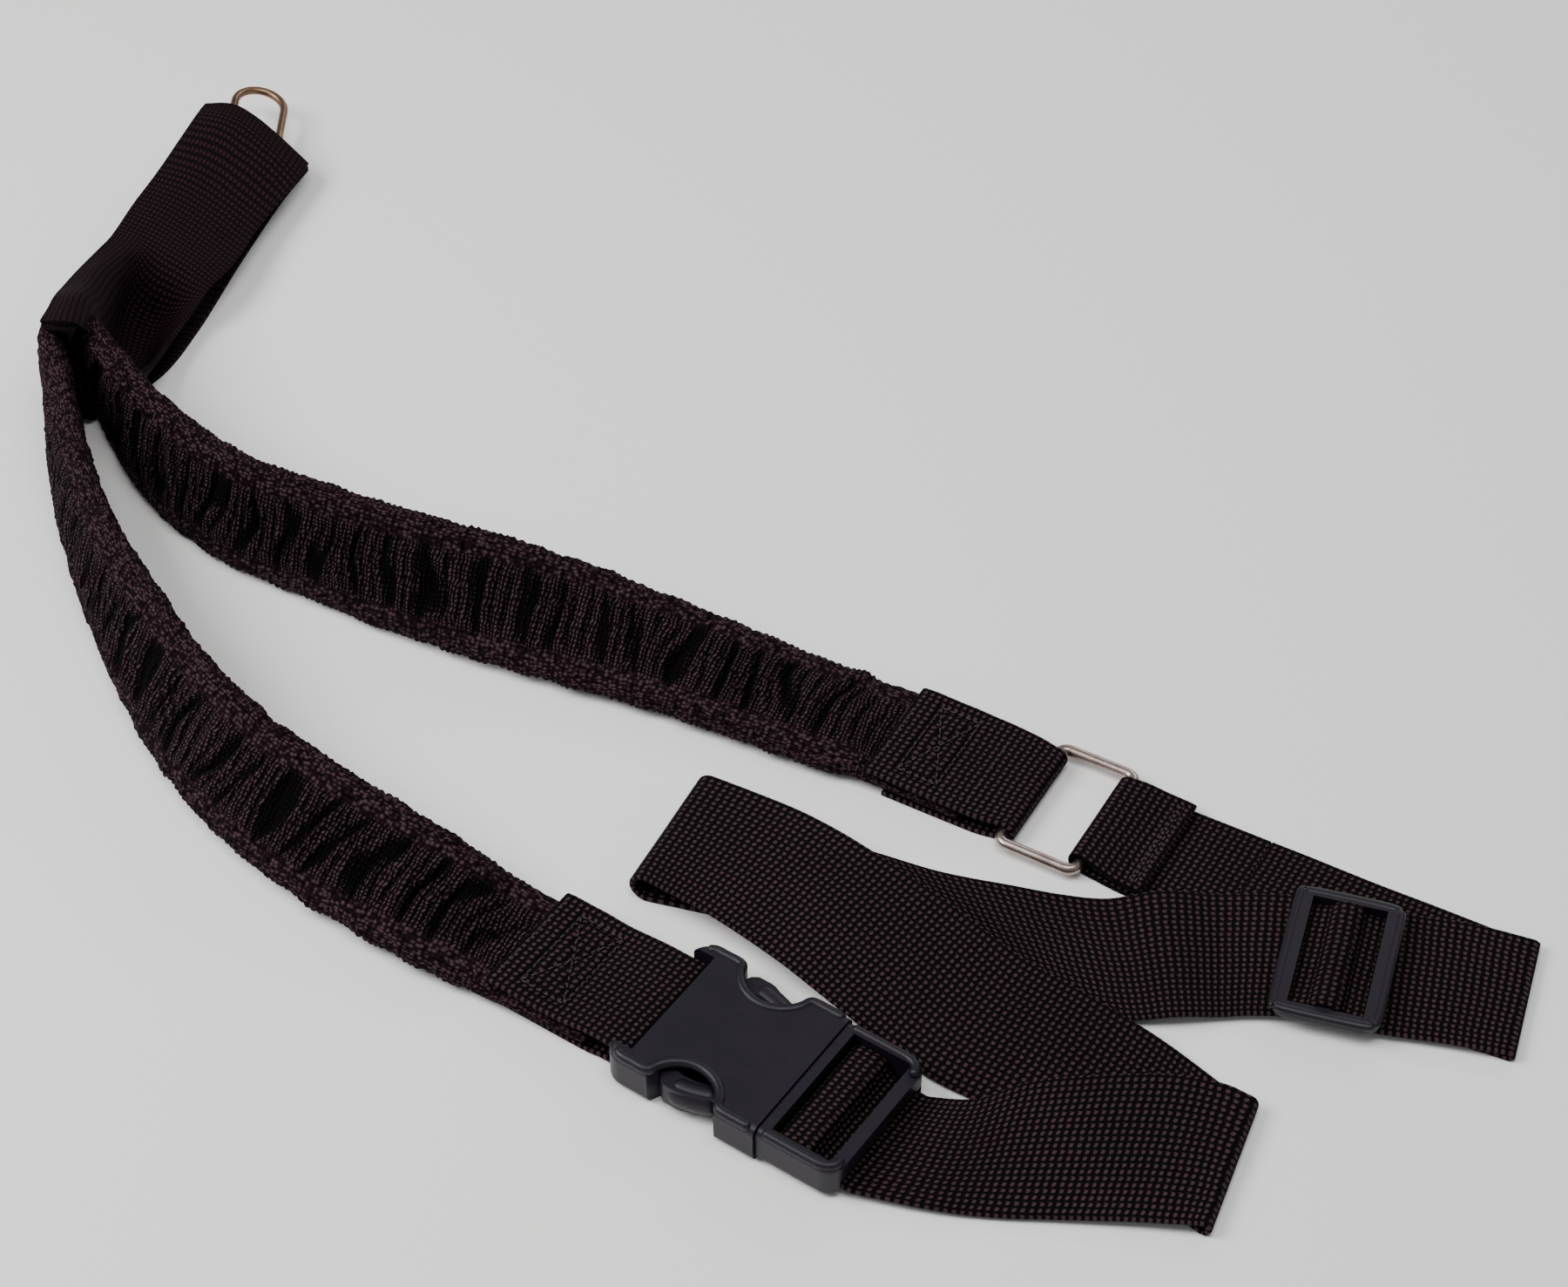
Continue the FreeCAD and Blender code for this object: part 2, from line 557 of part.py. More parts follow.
keep(made("SecondFold", ribbon(second_turn, THICK, turn_out, turn_out * -1)), "second_fold")


# ---------------------------------------------------------------- rectangular ring and the loop sewn to it
def quarter(name, x, y, turn):
    piece = doc.addObject("Part::Torus", name)
    piece.Placement = FreeCAD.Placement(FreeCAD.Vector(0, 0, 0), FreeCAD.Rotation(FreeCAD.Vector(0, 0, 1), turn))
    return bind(piece, Radius1=rule("[ring_corner]"), Radius2=rule("[ring_wire] / 2"), Angle3="90",
                Placement__Base__x=x, Placement__Base__y=y)


def make_ring():
    half_x = rule("([ring_inner_short] + [ring_wire]) / 2")
    half_y = rule("([ring_inner_long] + [ring_wire]) / 2")
    corner = rule("[ring_corner]")
    long_rod = rule("[ring_inner_long] + [ring_wire] - 2 * [ring_corner]")
    short_rod = rule("[ring_inner_short] + [ring_wire] - 2 * [ring_corner]")
    wire = rule("[ring_wire] / 2")
    pieces = [rod("RingTabSide", "-" + half_x, "-%s + %s" % (half_y, corner), "0", wire, long_rod, "y"),
              rod("RingLoopSide", half_x, "-%s + %s" % (half_y, corner), "0", wire, long_rod, "y"),
              rod("RingNearSide", "-%s + %s" % (half_x, corner), "-" + half_y, "0", wire, short_rod, "x"),
              rod("RingFarSide", "-%s + %s" % (half_x, corner), half_y, "0", wire, short_rod, "x"),
              quarter("RingCornerA", "%s - %s" % (half_x, corner), "%s - %s" % (half_y, corner), 0),
              quarter("RingCornerB", "-%s + %s" % (half_x, corner), "%s - %s" % (half_y, corner), 90),
              quarter("RingCornerC", "-%s + %s" % (half_x, corner), "-%s + %s" % (half_y, corner), 180),
              quarter("RingCornerD", "%s - %s" % (half_x, corner), "-%s + %s" % (half_y, corner), 270)]
    ring = joined("Ring", pieces)
    ring.Placement = FreeCAD.Placement(ring_centre, FreeCAD.Rotation(FreeCAD.Vector(0, 0, 1), RING[2]))
    return ring


keep(make_ring(), "rectangular_ring")


def make_ring_loop():
    wrap = size("ring_wire") / 2 + size("wrap_clear") + THICK / 2
    top = [(loop_long, LOW + THICK + 0.9), (12, LOW + THICK + 1.4), (6, RING_BAR_Z + wrap - 0.6)]
    turn = arc(0, RING_BAR_Z, wrap, 90, 270, 12)
    bottom = [(5, LOW), (loop_long, LOW)]
    loop = band(top + turn + bottom, THICK, THREADED)
    for side in (1, -1):
        corner = Part.makeBox(30, 30, 30)
        half = turn_wide / 2
        corner.translate(FreeCAD.Vector(-27.6, half if side > 0 else -half - 30, -10))
        loop = loop.cut(corner)
    base = FreeCAD.Vector(ring_centre.x, ring_centre.y, 0) + along(RING[2], ring_pitch_short / 2)
    return made("RingLoop", loop, FreeCAD.Placement(base, FreeCAD.Rotation(FreeCAD.Vector(0, 0, 1), RING[2])))


keep(make_ring_loop(), "ring_loop")


# ---------------------------------------------------------------- tri-glide and the webbing over its bar
GLIDE_Z = SECOND + THICK / 2 + 0.5


def make_glide():
    block = box("GlideBlock", rule("-[glide_short] / 2"), rule("-[glide_long] / 2"), "0", rule("[glide_short]"),
                rule("[glide_long]"), rule("[glide_thick]"))
    soft = rounded("GlideCorners", block, size("glide_corner"), lambda middle, way: abs(way.z) > 0.9)
    softer = rounded("GlideRims", soft, 1.5, lambda middle, way: abs(way.z) < 0.5)
    window = box("GlideWindow", rule("-[glide_short] / 2 + [glide_side]"), rule("-[glide_slot] / 2"), "-1",
                 rule("[glide_short] - 2 * [glide_side]"), rule("[glide_slot]"), rule("[glide_thick] + 2"))
    rails = cut("GlideRails", softer, [window])
    bar = box("GlideBar", rule("-[glide_bar] / 2"), rule("-[glide_slot] / 2 - 1"), "0.4", rule("[glide_bar]"),
              rule("[glide_slot] + 2"), rule("[glide_bar_thick]"))
    smooth = rounded("GlideBarRims", bar, 1.0, lambda middle, way: abs(way.y) > 0.9)
    glide = joined("Glide", [rails, smooth])
    glide.Placement = turned(*GLIDE[:2], GLIDE_Z, GLIDE[2])
    return glide


keep(make_glide(), "tri_glide")

bar_top = 0.4 + size("glide_bar_thick") + size("wrap_clear") + THICK / 2
reach = size("glide_bar") / 2 + size("wrap_clear") + THICK / 2
hump_path = [(-9.6, 1.1), (-7.2, 1.2), (-reach - 0.7, 2.2), (-reach + 0.4, bar_top - 0.8), (-reach + 1.8, bar_top),
             (reach - 1.8, bar_top), (reach - 0.4, bar_top - 0.8), (reach + 0.7, 2.2), (7.2, 1.2), (9.6, 1.1)]
keep(made("GlideWebbing", band(hump_path, THICK, THREADED), turned(*GLIDE[:2], GLIDE_Z, GLIDE[2])), "glide_webbing")


# ---------------------------------------------------------------- tether at the belt's fold
CREASE_LONG = 8.0
CREASE_TOP = 41.6
split_heading = (buckle_start_heading + ring_start_heading) / 2
crease_dir = along(split_heading)
crease_far = FOLD + crease_dir * CREASE_LONG
crease_side = along(split_heading + 90, THICK / 2)


def make_crease():
    corners = [FOLD - crease_side, FOLD + crease_side, crease_far + crease_side, crease_far - crease_side]
    face = Part.Face(Part.makePolygon(corners + [corners[0]]))
    face.translate(FreeCAD.Vector(0, 0, THICK))
    return made("TetherCrease", face.extrude(FreeCAD.Vector(0, 0, CREASE_TOP - THICK)))


keep(make_crease(), "tether_crease")

MOUTH_LEFT = at(-187, 213.1, 22.5)
MOUTH_RIGHT = at(-152.5, 198.4, 9.5)
upper_tether = [(at(-217.5, 63, CREASE_TOP + 0.8), at(-205.5, 67.5, CREASE_TOP + 0.8)),
                (at(-217.5, 78, CREASE_TOP + 0.8), at(-205.5, 80, CREASE_TOP + 0.8)),
                (at(-215.5, 98, 38.5), at(-198, 97.5, 36)), (at(-209, 131.9, 30), at(-179, 122, 19.5)),
                (at(-203.5, 152, 27.5), at(-171, 142, 12.0)), (at(-196.9, 172.8, 25), at(-163.8, 162.3, 9.6)),
                (MOUTH_LEFT, MOUTH_RIGHT)]
keep(made("TetherUpper", ribbon(upper_tether, THICK)), "tether_upper")
lower_tether = [(at(-217.5, 64, LOW), at(-205.5, 68.5, LOW)), (at(-222, 82, LOW), at(-199, 84, LOW)),
                (at(-222, 98, LOW), at(-190, 96, LOW)), (at(-218, 128, LOW), at(-181, 119, LOW)),
                (at(-209, 166, 1.4), at(-170.5, 153, LOW)), (at(-197, 196, 6.0), at(-160.5, 184, LOW)),
                (at(-189, 217, 9.6), at(-153.5, 204, 1.6))]
keep(made("TetherLower", ribbon(lower_tether, THICK)), "tether_lower")

# tether ring: a bar in the mouth, two arms and a round apex, with a small strap sewn round the bar
RING_PITCH_WIDE = size("tether_ring_wide") - size("tether_ring_wire")
RING_PITCH_LONG = size("tether_ring_long") - size("tether_ring_wire")
tether_tilt = 15.0
ring_base = at(-171.0, 206.5, 11.6)
tether_turn = FreeCAD.Rotation(FreeCAD.Vector(0, 0, 1), TETHER_AXIS + 18 - 90 - 16 + 14)
tether_roll = FreeCAD.Rotation(FreeCAD.Vector(0, 1, 0), tether_tilt)
tether_place = FreeCAD.Placement(ring_base, tether_turn.multiply(tether_roll))


def make_tether_ring():
    wire = rule("[tether_ring_wire] / 2")
    pitch = rule("([tether_ring_wide] - [tether_ring_wire]) / 2")
    reach_rule = rule("[tether_ring_long] - [tether_ring_wire] - ([tether_ring_wide] - [tether_ring_wire]) / 2")
    bar = rod("TetherBar", "-" + pitch, "0", "0", wire, "2 * " + pitch, "x")
    left = rod("TetherArmLeft", "-" + pitch, "0", "0", wire, reach_rule, "y")
    right = rod("TetherArmRight", pitch, "0", "0", wire, reach_rule, "y")
    apex = doc.addObject("Part::Torus", "TetherApex")
    bind(apex, Radius1=pitch, Radius2=wire, Angle3="180", Placement__Base__y=reach_rule)
    knees = []
    for side, sign in (("Left", "-"), ("Right", "")):
        knee = doc.addObject("Part::Sphere", "TetherKnee" + side)
        knees.append(bind(knee, Radius=wire, Placement__Base__x=sign + pitch))
    ring = joined("TetherRing", [bar, left, right, apex] + knees)
    ring.Placement = tether_place
    return ring


keep(make_tether_ring(), "tether_ring")

strap_wrap = size("tether_ring_wire") / 2 + size("wrap_clear") + 0.6
strap_path = [(-14.0, -1.2), (-6.0, -1.6)] + arc(0, 0, strap_wrap, -100, 100, 10) + [(-6.0, 0.8), (-14.0, 0.2)]
strap = band(strap_path, 1.2, size("inner_strap_wide"))
strap_turn = tether_turn.multiply(tether_roll).multiply(FreeCAD.Rotation(FreeCAD.Vector(0, 0, 1), 90))
keep(made("TetherStrap", strap, FreeCAD.Placement(ring_base, strap_turn)), "tether_strap")


# ---------------------------------------------------------------- stitching
def cross_box(name, bar_point, heading, from_x, to_x, z_from, z_to):
    """Box-and-cross stitching as one raised grid on the top ply of a tab."""
    half = 14.0
    wide = size("thread_wide")
    high = size("thread_high")
    lines = [((from_x, -half), (from_x, half)), ((to_x, -half), (to_x, half)), ((from_x, -half), (to_x, -half)),
             ((from_x, half), (to_x, half)), ((from_x, -half), (to_x, half)), ((from_x, half), (to_x, -half))]
    pitch = (z_to - z_from) / (to_x - from_x)
    grid = None
    for start, end in lines:
        a = FreeCAD.Vector(start[0], start[1], 0)
        b = FreeCAD.Vector(end[0], end[1], 0)
        way = (b - a).normalize()
        side = FreeCAD.Vector(-way.y, way.x, 0) * (wide / 2)
        reach_out = way * (wide / 2)
        corners = [a - side - reach_out, b - side + reach_out, b + side + reach_out, a + side - reach_out]
        raised = [FreeCAD.Vector(p.x, p.y, z_from + pitch * (p.x - from_x)) for p in corners]
        bar = Part.Face(Part.makePolygon(raised + [raised[0]])).extrude(FreeCAD.Vector(0, 0, high))
        grid = bar if grid is None else grid.fuse(bar)
    place = FreeCAD.Placement(FreeCAD.Vector(bar_point.x, bar_point.y, 0),
                              FreeCAD.Rotation(FreeCAD.Vector(0, 0, 1), heading))
    keep(made(name.title().replace("_", ""), grid.removeSplitter(), place), name)


stitch_lift = THICK / 2 + 0.02
cross_box("ring_tab_stitching", tab_bar_point, RING[2], -37.0 + 0.6, -23.6, 8.2 + stitch_lift, 7.57 + stitch_lift)
buckle_bar_point = at(BUCKLE[0], BUCKLE[1]) + along(BUCKLE[2], HOUSING_BAR_X)
cross_box("buckle_tab_stitching", buckle_bar_point, BUCKLE[2], -37.4, -24.6, 8.18 + stitch_lift, 7.6 + stitch_lift)

# ---------------------------------------------------------------- checks and export
doc.recompute()
for item in doc.Objects:
    if "Invalid" in item.State or "Error" in item.State:
        raise RuntimeError("%s did not build: %s" % (item.Name, item.State))
os.makedirs("parts", exist_ok=True)
for piece in PIECES:
    if piece.Shape.isNull() or not piece.Shape.isValid():
        raise RuntimeError("%s has no valid shape" % piece.Label)
    piece.Shape.exportStep("parts/%s.step" % piece.Label)
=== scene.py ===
import math
import bmesh
import bpy
from mathutils import Matrix, Vector, noise


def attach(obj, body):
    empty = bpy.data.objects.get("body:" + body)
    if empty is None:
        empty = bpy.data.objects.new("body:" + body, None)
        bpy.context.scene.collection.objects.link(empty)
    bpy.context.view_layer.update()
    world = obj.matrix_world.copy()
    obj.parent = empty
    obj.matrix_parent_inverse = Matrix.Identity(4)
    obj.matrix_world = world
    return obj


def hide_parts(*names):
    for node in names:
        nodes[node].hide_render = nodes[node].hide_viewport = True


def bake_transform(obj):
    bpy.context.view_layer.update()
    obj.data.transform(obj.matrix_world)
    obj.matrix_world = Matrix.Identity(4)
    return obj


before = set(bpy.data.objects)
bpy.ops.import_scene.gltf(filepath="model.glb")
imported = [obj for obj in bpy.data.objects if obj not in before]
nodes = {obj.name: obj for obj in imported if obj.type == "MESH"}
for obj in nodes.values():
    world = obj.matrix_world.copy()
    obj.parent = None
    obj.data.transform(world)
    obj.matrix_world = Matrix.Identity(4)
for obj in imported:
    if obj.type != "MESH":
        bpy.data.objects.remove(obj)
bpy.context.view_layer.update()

# A gait belt lying folded on a table. Sizes are written in millimetres and turned to metres by spot().
SHIFT = Vector((-0.55, 5.0, 0.0))
MM = 0.001
SELVEDGE = 0.32     # share of a strap's thickness that its edges are rounded by


def spot(x, y, z=0.0):
    return (Vector((x, y, z)) + SHIFT) * MM


def heading(degrees, length=1.0):
    angle = math.radians(degrees)
    return Vector((math.cos(angle), math.sin(angle), 0.0)) * length


def flow(keys, count):
    """A smooth run of count + 1 tuples through the keys (Catmull-Rom), evenly spread over the key spans."""
    last = len(keys) - 1
    out = []
    for step in range(count + 1):
        along = min(step / count * last, last - 1e-9)
        i = int(along)
        t = along - i
        a, b, c, d = keys[max(i - 1, 0)], keys[i], keys[i + 1], keys[min(i + 2, last)]
        out.append(tuple(0.5 * (2 * q + (r - p) * t + (2 * p - 5 * q + 4 * r - s) * t * t
                                + (3 * q - p - 3 * r + s) * t ** 3) for p, q, r, s in zip(a, b, c, d)))
    return out


def even(rows, step):
    """The same run of tuples, whose first three numbers are a place, at even spacing along it."""
    marks = [0.0]
    for a, b in zip(rows, rows[1:]):
        marks.append(marks[-1] + math.dist(a[:3], b[:3]))
    count = max(2, round(marks[-1] / step))
    out = []
    i = 0
    for n in range(count + 1):
        want = marks[-1] * n / count
        while i < len(rows) - 2 and marks[i + 1] < want:
            i += 1
        t = (want - marks[i]) / max(marks[i + 1] - marks[i], 1e-9)
        out.append(tuple(p + (q - p) * t for p, q in zip(rows[i], rows[i + 1])))
    return out, marks[-1]


def wobble(x, y, z):
    """Soft noise about zero, with one swell for each unit of x, y or z."""
    return noise.noise(Vector((x, y, z)))


def piece_of(name, bm):
    """The bmesh as an object in the scene, shaded smooth."""
    mesh = bpy.data.meshes.new(name)
    bm.to_mesh(mesh)
    bm.free()
    mesh.shade_smooth()
    piece = bpy.data.objects.new(name, mesh)
    bpy.context.scene.collection.objects.link(piece)
    return piece


def cloth(name, columns, rows, surface, size, closed=False, thick=0.0):
    """A grid of cloth whose points are surface(u, v); its UV map counts millimetres across and along.

    On a closed tube the surface gives a second number, the painted shade of its sunken parts, which the knit
    reads.
    """
    bm = bmesh.new()
    bmesh.ops.create_grid(bm, x_segments=columns, y_segments=rows, size=0.5)
    uv = bm.loops.layers.uv.new("Weave")
    # this layer carries painted shade: how much the knit's colour is darkened where the sleeve sinks in
    painted_shade = bm.verts.layers.float.new("painted_shade")
    flat = {v: (v.co.x + 0.5, v.co.y + 0.5) for v in bm.verts}
    for face in bm.faces:
        for loop in face.loops:
            u, v = flat[loop.vert]
            loop[uv].uv = (u * size[0], v * size[1])
    for v, (a, b) in flat.items():
        if closed:
            v.co, v[painted_shade] = surface(a, b)
        else:
            v.co = surface(a, b)
    if closed:
        bmesh.ops.remove_doubles(bm, verts=bm.verts, dist=1e-6)
        rims = [e for e in bm.edges if e.is_boundary]
        bmesh.ops.holes_fill(bm, edges=rims, sides=0)
    bmesh.ops.recalc_face_normals(bm, faces=bm.faces)
    piece = piece_of(name, bm)
    if thick:
        wall = piece.modifiers.new("Thickness", "SOLIDIFY")
        wall.thickness = thick * MM
        wall.offset = 0.0
        wall.use_even_offset = True
        bevel = piece.modifiers.new("Selvedge", "BEVEL")
        bevel.width = SELVEDGE * MM * thick
        bevel.segments = 2
        bevel.limit_method = "ANGLE"
        bevel.angle_limit = math.radians(60)
    return piece


def lookup(rows, v):
    """The tuple at share v of the run of rows."""
    at = v * (len(rows) - 1)
    i = min(int(at), len(rows) - 2)
    t = at - i
    return [p + (q - p) * t for p, q in zip(rows[i], rows[i + 1])]


# ---------------------------------------------------------------- materials
def linear(hexa):
    """A colour written as sRGB hex, turned to the linear values a shader takes."""
    value = []
    for i in (0, 2, 4):
        c = int(hexa[i:i + 2], 16) / 255
        value.append(c / 12.92 if c <= 0.04045 else ((c + 0.055) / 1.055) ** 2.4)
    return (*value, 1.0)


def material(name, **settings):
    """A material and its shader, with the sockets that are the same all over."""
    mat = bpy.data.materials.new(name)
    mat.use_nodes = True
    shader = mat.node_tree.nodes["Principled BSDF"]
    for socket, value in settings.items():
        shader.inputs[socket.replace("_", " ")].default_value = value
    return mat, shader


def node(mat, kind, links=(), stops=(), **settings):
    """Adds a node with its settings and links.

    links fills the sockets, in order from a tuple or by name from a dict, with a number, an output, or a
    node, which gives its first output. stops are the places and colours of a colour ramp.
    """
    made = mat.node_tree.nodes.new("ShaderNode" + kind)
    for key, value in settings.items():
        setattr(made, key, value)
    for key, value in links.items() if isinstance(links, dict) else enumerate(links):
        if isinstance(value, bpy.types.Node):
            value = value.outputs[0]
        if isinstance(value, bpy.types.NodeSocket):
            mat.node_tree.links.new(value, made.inputs[key])
        else:
            made.inputs[key].default_value = value
    for _ in stops[2:]:
        made.color_ramp.elements.new(0.5)
    for at, (place, colour) in enumerate(stops):
        made.color_ramp.elements[at].position = place
        made.color_ramp.elements[at].color = linear(colour)
    return made


def join(mat, made, socket):
    mat.node_tree.links.new(made.outputs[0], socket)


def wave_of(mat, coordinate, pitch, shift=0.0):
    """0 to 1 and back, once each pitch, along a coordinate in millimetres."""
    turned = node(mat, "Math", (coordinate, 2 * math.pi / pitch, shift), operation="MULTIPLY_ADD")
    swing = node(mat, "Math", (turned,), operation="SINE")
    return node(mat, "Math", (swing, 0.5, 0.5), operation="MULTIPLY_ADD")


# the yarn's loose fibres are far finer than this, and are drawn this coarse so that they show
FUZZ = 0.4


def woven_nylon(name, deep, mid, light, rib, warp, lean, depth):
    """Woven nylon webbing: dull and slightly fuzzy, with staggered floats and dark pinholes between them.

    rib and warp are the floats' spacing in millimetres along and across the strap, lean is how much later
    every other cord crosses, as a share of half a rib, and depth is the floats' height in metres.
    """
    mat, shader = material(name, Roughness=0.85, IOR=1.5, Specular_IOR_Level=0.08)
    split = node(mat, "SeparateXYZ", (node(mat, "UVMap", uv_map="Weave"),))
    place = node(mat, "TexCoord").outputs["Object"]
    # the floats wander over about 14 mm, and wear and dirt change the tone over about 38 mm
    drift = node(mat, "TexNoise", {"Vector": place, "Scale": 1000 / 14, "Detail": 3.0})
    stain = node(mat, "TexNoise", {"Vector": place, "Scale": 1000 / 38, "Detail": 3.0})
    fuzz = node(mat, "TexNoise", {"Vector": place, "Scale": 1000 / FUZZ, "Detail": 4.0})
    across = node(mat, "Math", (drift, 0.7, split.outputs[0]), operation="MULTIPLY_ADD")
    along = node(mat, "Math", (drift, 1.1, split.outputs[1]), operation="MULTIPLY_ADD")
    # every other cord crosses the weft later, and each float leans a little
    cord = node(mat, "Math", (across, 1 / warp), operation="MULTIPLY")
    number = node(mat, "Math", (cord,), operation="FLOOR")
    half = node(mat, "Math", (number, 0.5), operation="MULTIPLY")
    odd = node(mat, "Math", (half,), operation="FRACT")
    in_cord = node(mat, "Math", (cord,), operation="FRACT")
    slant = node(mat, "Math", (in_cord, 0.9), operation="MULTIPLY")
    late = node(mat, "Math", (odd, 2 * math.pi * lean, slant), operation="MULTIPLY_ADD")
    ribs = node(mat, "Math", (wave_of(mat, along, rib, late), 0.8), operation="POWER")
    cords = node(mat, "Math", (wave_of(mat, across, warp), 0.45), operation="POWER")
    grid = node(mat, "Math", (ribs, cords), operation="MULTIPLY")
    # the floats fill most of the face, so only thin dark gaps are left between them
    grid = node(mat, "MapRange", (grid, 0.08, 0.78), interpolation_type="SMOOTHSTEP")
    height = node(mat, "Math", (fuzz, 0.3, grid), operation="MULTIPLY_ADD")
    bump = node(mat, "Bump", {"Strength": 0.8, "Distance": depth, "Height": height})
    join(mat, bump, shader.inputs["Normal"])
    tone = node(mat, "Math", (grid, 0.95, -0.45), operation="MULTIPLY_ADD")
    tone = node(mat, "Math", (stain, 0.3, tone), operation="MULTIPLY_ADD")
    tone = node(mat, "Math", (fuzz, 0.6, tone), operation="MULTIPLY_ADD")
    colour = node(mat, "ValToRGB", (tone,), ((0.15, deep), (0.6, mid), (1.0, light)))
    join(mat, colour, shader.inputs["Base Color"])
    return mat


def ruched_knit(name, deep, mid, light):
    """Elastic-gathered ribbed knit: dull, beaded on both rims, fine threads over the gathers between them, and
    darkened to near-black by painted shade where it is tucked in."""
    mat, shader = material(name, Roughness=0.88, IOR=1.5, Specular_IOR_Level=0.06)
    uv = node(mat, "UVMap", uv_map="Weave")
    split = node(mat, "SeparateXYZ", (uv,))
    place = node(mat, "TexCoord").outputs["Object"]
    # the rims are the two edges of the flattened tube
    turn = node(mat, "Math", (split.outputs[0], 2 * math.pi / GIRTH), operation="MULTIPLY")
    sideways = node(mat, "Math", (turn,), operation="COSINE")
    outward = node(mat, "Math", (sideways,), operation="ABSOLUTE")
    rim = node(mat, "MapRange", (outward, 0.50, 0.64), interpolation_type="SMOOTHSTEP")
    # knots of about 1.4 by 1.6 mm
    knots = node(mat, "VectorMath", (uv, (0.70, 0.62, 0.0)), operation="MULTIPLY")
    beads = node(mat, "TexVoronoi", {"Vector": knots, "Scale": 1.0, "Randomness": 0.55, "Smoothness": 0.25},
                 feature="SMOOTH_F1")
    beads = node(mat, "Math", (beads, -1.45, 1.1), operation="MULTIPLY_ADD")
    # threads 1.25 mm apart along the sleeve and 1.1 mm apart across it, wandering over about 4 mm
    drift = node(mat, "TexNoise", {"Vector": place, "Scale": 1000 / 4, "Detail": 3.0})
    along = node(mat, "Math", (drift, 2.6, split.outputs[1]), operation="MULTIPLY_ADD")
    across = node(mat, "Math", (drift, 3.0, split.outputs[0]), operation="MULTIPLY_ADD")
    cords = node(mat, "Math", (wave_of(mat, across, 1.1), 0.35), operation="POWER")
    fine = node(mat, "Math", (wave_of(mat, along, 1.25), cords), operation="MULTIPLY")
    more = node(mat, "Math", (beads, fine), operation="SUBTRACT")
    grid = node(mat, "Math", (rim, more, fine), operation="MULTIPLY_ADD")
    fuzz = node(mat, "TexNoise", {"Vector": place, "Scale": 1000 / FUZZ, "Detail": 4.0})
    height = node(mat, "Math", (fuzz, 0.35, grid), operation="MULTIPLY_ADD")
    bump = node(mat, "Bump", {"Strength": 0.85, "Distance": 0.0006, "Height": height})
    join(mat, bump, shader.inputs["Normal"])
    tone = node(mat, "Math", (grid, 0.9), operation="MULTIPLY")
    tone = node(mat, "Math", (fuzz, 0.35, tone), operation="MULTIPLY_ADD")
    # painted shade: the knit's colour is darkened where the sleeve sinks into its gathers and grooves
    painted_shade = node(mat, "Attribute", attribute_name="painted_shade").outputs["Fac"]
    tone = node(mat, "Math", (tone, painted_shade), operation="SUBTRACT")
    colour = node(mat, "ValToRGB", (tone,), ((0.1, deep), (0.5, mid), (1.0, light)))
    join(mat, colour, shader.inputs["Base Color"])
    return mat


def moulded_acetal(name, base, light):
    """Moulded acetal: near-black and semi-matte, with a fine spark-eroded grain and broad patches of wear."""
    mat, shader = material(name, IOR=1.48, Specular_IOR_Level=0.32)
    place = node(mat, "TexCoord").outputs["Object"]
    # the grit of a spark-eroded mould is too fine to show and is drawn at 0.3 mm
    grain = node(mat, "TexNoise", {"Vector": place, "Scale": 1000 / 0.3, "Detail": 3.0})
    patch = node(mat, "TexNoise", {"Vector": place, "Scale": 1000 / 11, "Detail": 3.0})
    bump = node(mat, "Bump", {"Strength": 0.28, "Distance": 0.00012, "Height": grain})
    join(mat, bump, shader.inputs["Normal"])
    join(mat, node(mat, "ValToRGB", (grain,), ((0.3, base), (0.75, light))), shader.inputs["Base Color"])
    rough = node(mat, "Math", (patch, 0.16, 0.34), operation="MULTIPLY_ADD")
    join(mat, rough, shader.inputs["Roughness"])
    return mat


def plated_wire(name, base, light, rough):
    """Drawn steel wire with a thin plating: satin, faintly lined, a little tarnished in patches; its colours mix
    the metal's own with a painted warm reflection.
    """
    mat, shader = material(name, Metallic=1.0)
    place = node(mat, "TexCoord").outputs["Object"]
    cloud = node(mat, "TexNoise", {"Vector": place, "Scale": 1000 / 7, "Detail": 5.0})
    # the lines left by drawing the wire are too fine to show and are drawn at 0.7 mm
    lines = node(mat, "TexNoise", {"Vector": place, "Scale": 1000 / 0.7, "Detail": 2.0})
    join(mat, node(mat, "ValToRGB", (cloud,), ((0.3, base), (0.7, light))), shader.inputs["Base Color"])
    spread = node(mat, "Math", (lines, 0.18, rough - 0.09), operation="MULTIPLY_ADD")
    join(mat, spread, shader.inputs["Roughness"])
    bump = node(mat, "Bump", {"Strength": 0.12, "Distance": 0.0001, "Height": lines})
    join(mat, bump, shader.inputs["Normal"])
    return mat


def nylon_thread(name, deep, light):
    """Bonded nylon sewing thread: a dull dark strand whose 0.55 mm twist catches a little light."""
    mat, shader = material(name, Roughness=0.6, IOR=1.5)
    place = node(mat, "TexCoord").outputs["Object"]
    strands = node(mat, "TexNoise", {"Vector": place, "Scale": 1000 / 0.55, "Detail": 3.0})
    join(mat, node(mat, "ValToRGB", (strands,), ((0.3, deep), (0.8, light))), shader.inputs["Base Color"])
    bump = node(mat, "Bump", {"Strength": 0.4, "Distance": 0.0002, "Height": strands})
    join(mat, bump, shader.inputs["Normal"])
    return mat


GIRTH = 86.0    # round the gathered sleeve

webbing = woven_nylon("woven_nylon_webbing", "030102", "1d1015", "402f36", rib=2.15, warp=1.9, lean=0.22,
                      depth=0.0005)
tether_weave = woven_nylon("woven_nylon_tether", "0a0406", "1c0c10", "2c1a1e", rib=1.6, warp=1.5, lean=0.1,
                           depth=0.0003)
# the near-black first colour is reached mostly where painted shade darkens the knit
knit = ruched_knit("ruched_ribbed_knit", "010001", "170b0e", "4c3a40")
plastic = moulded_acetal("moulded_black_acetal", "100b15", "1a1420")
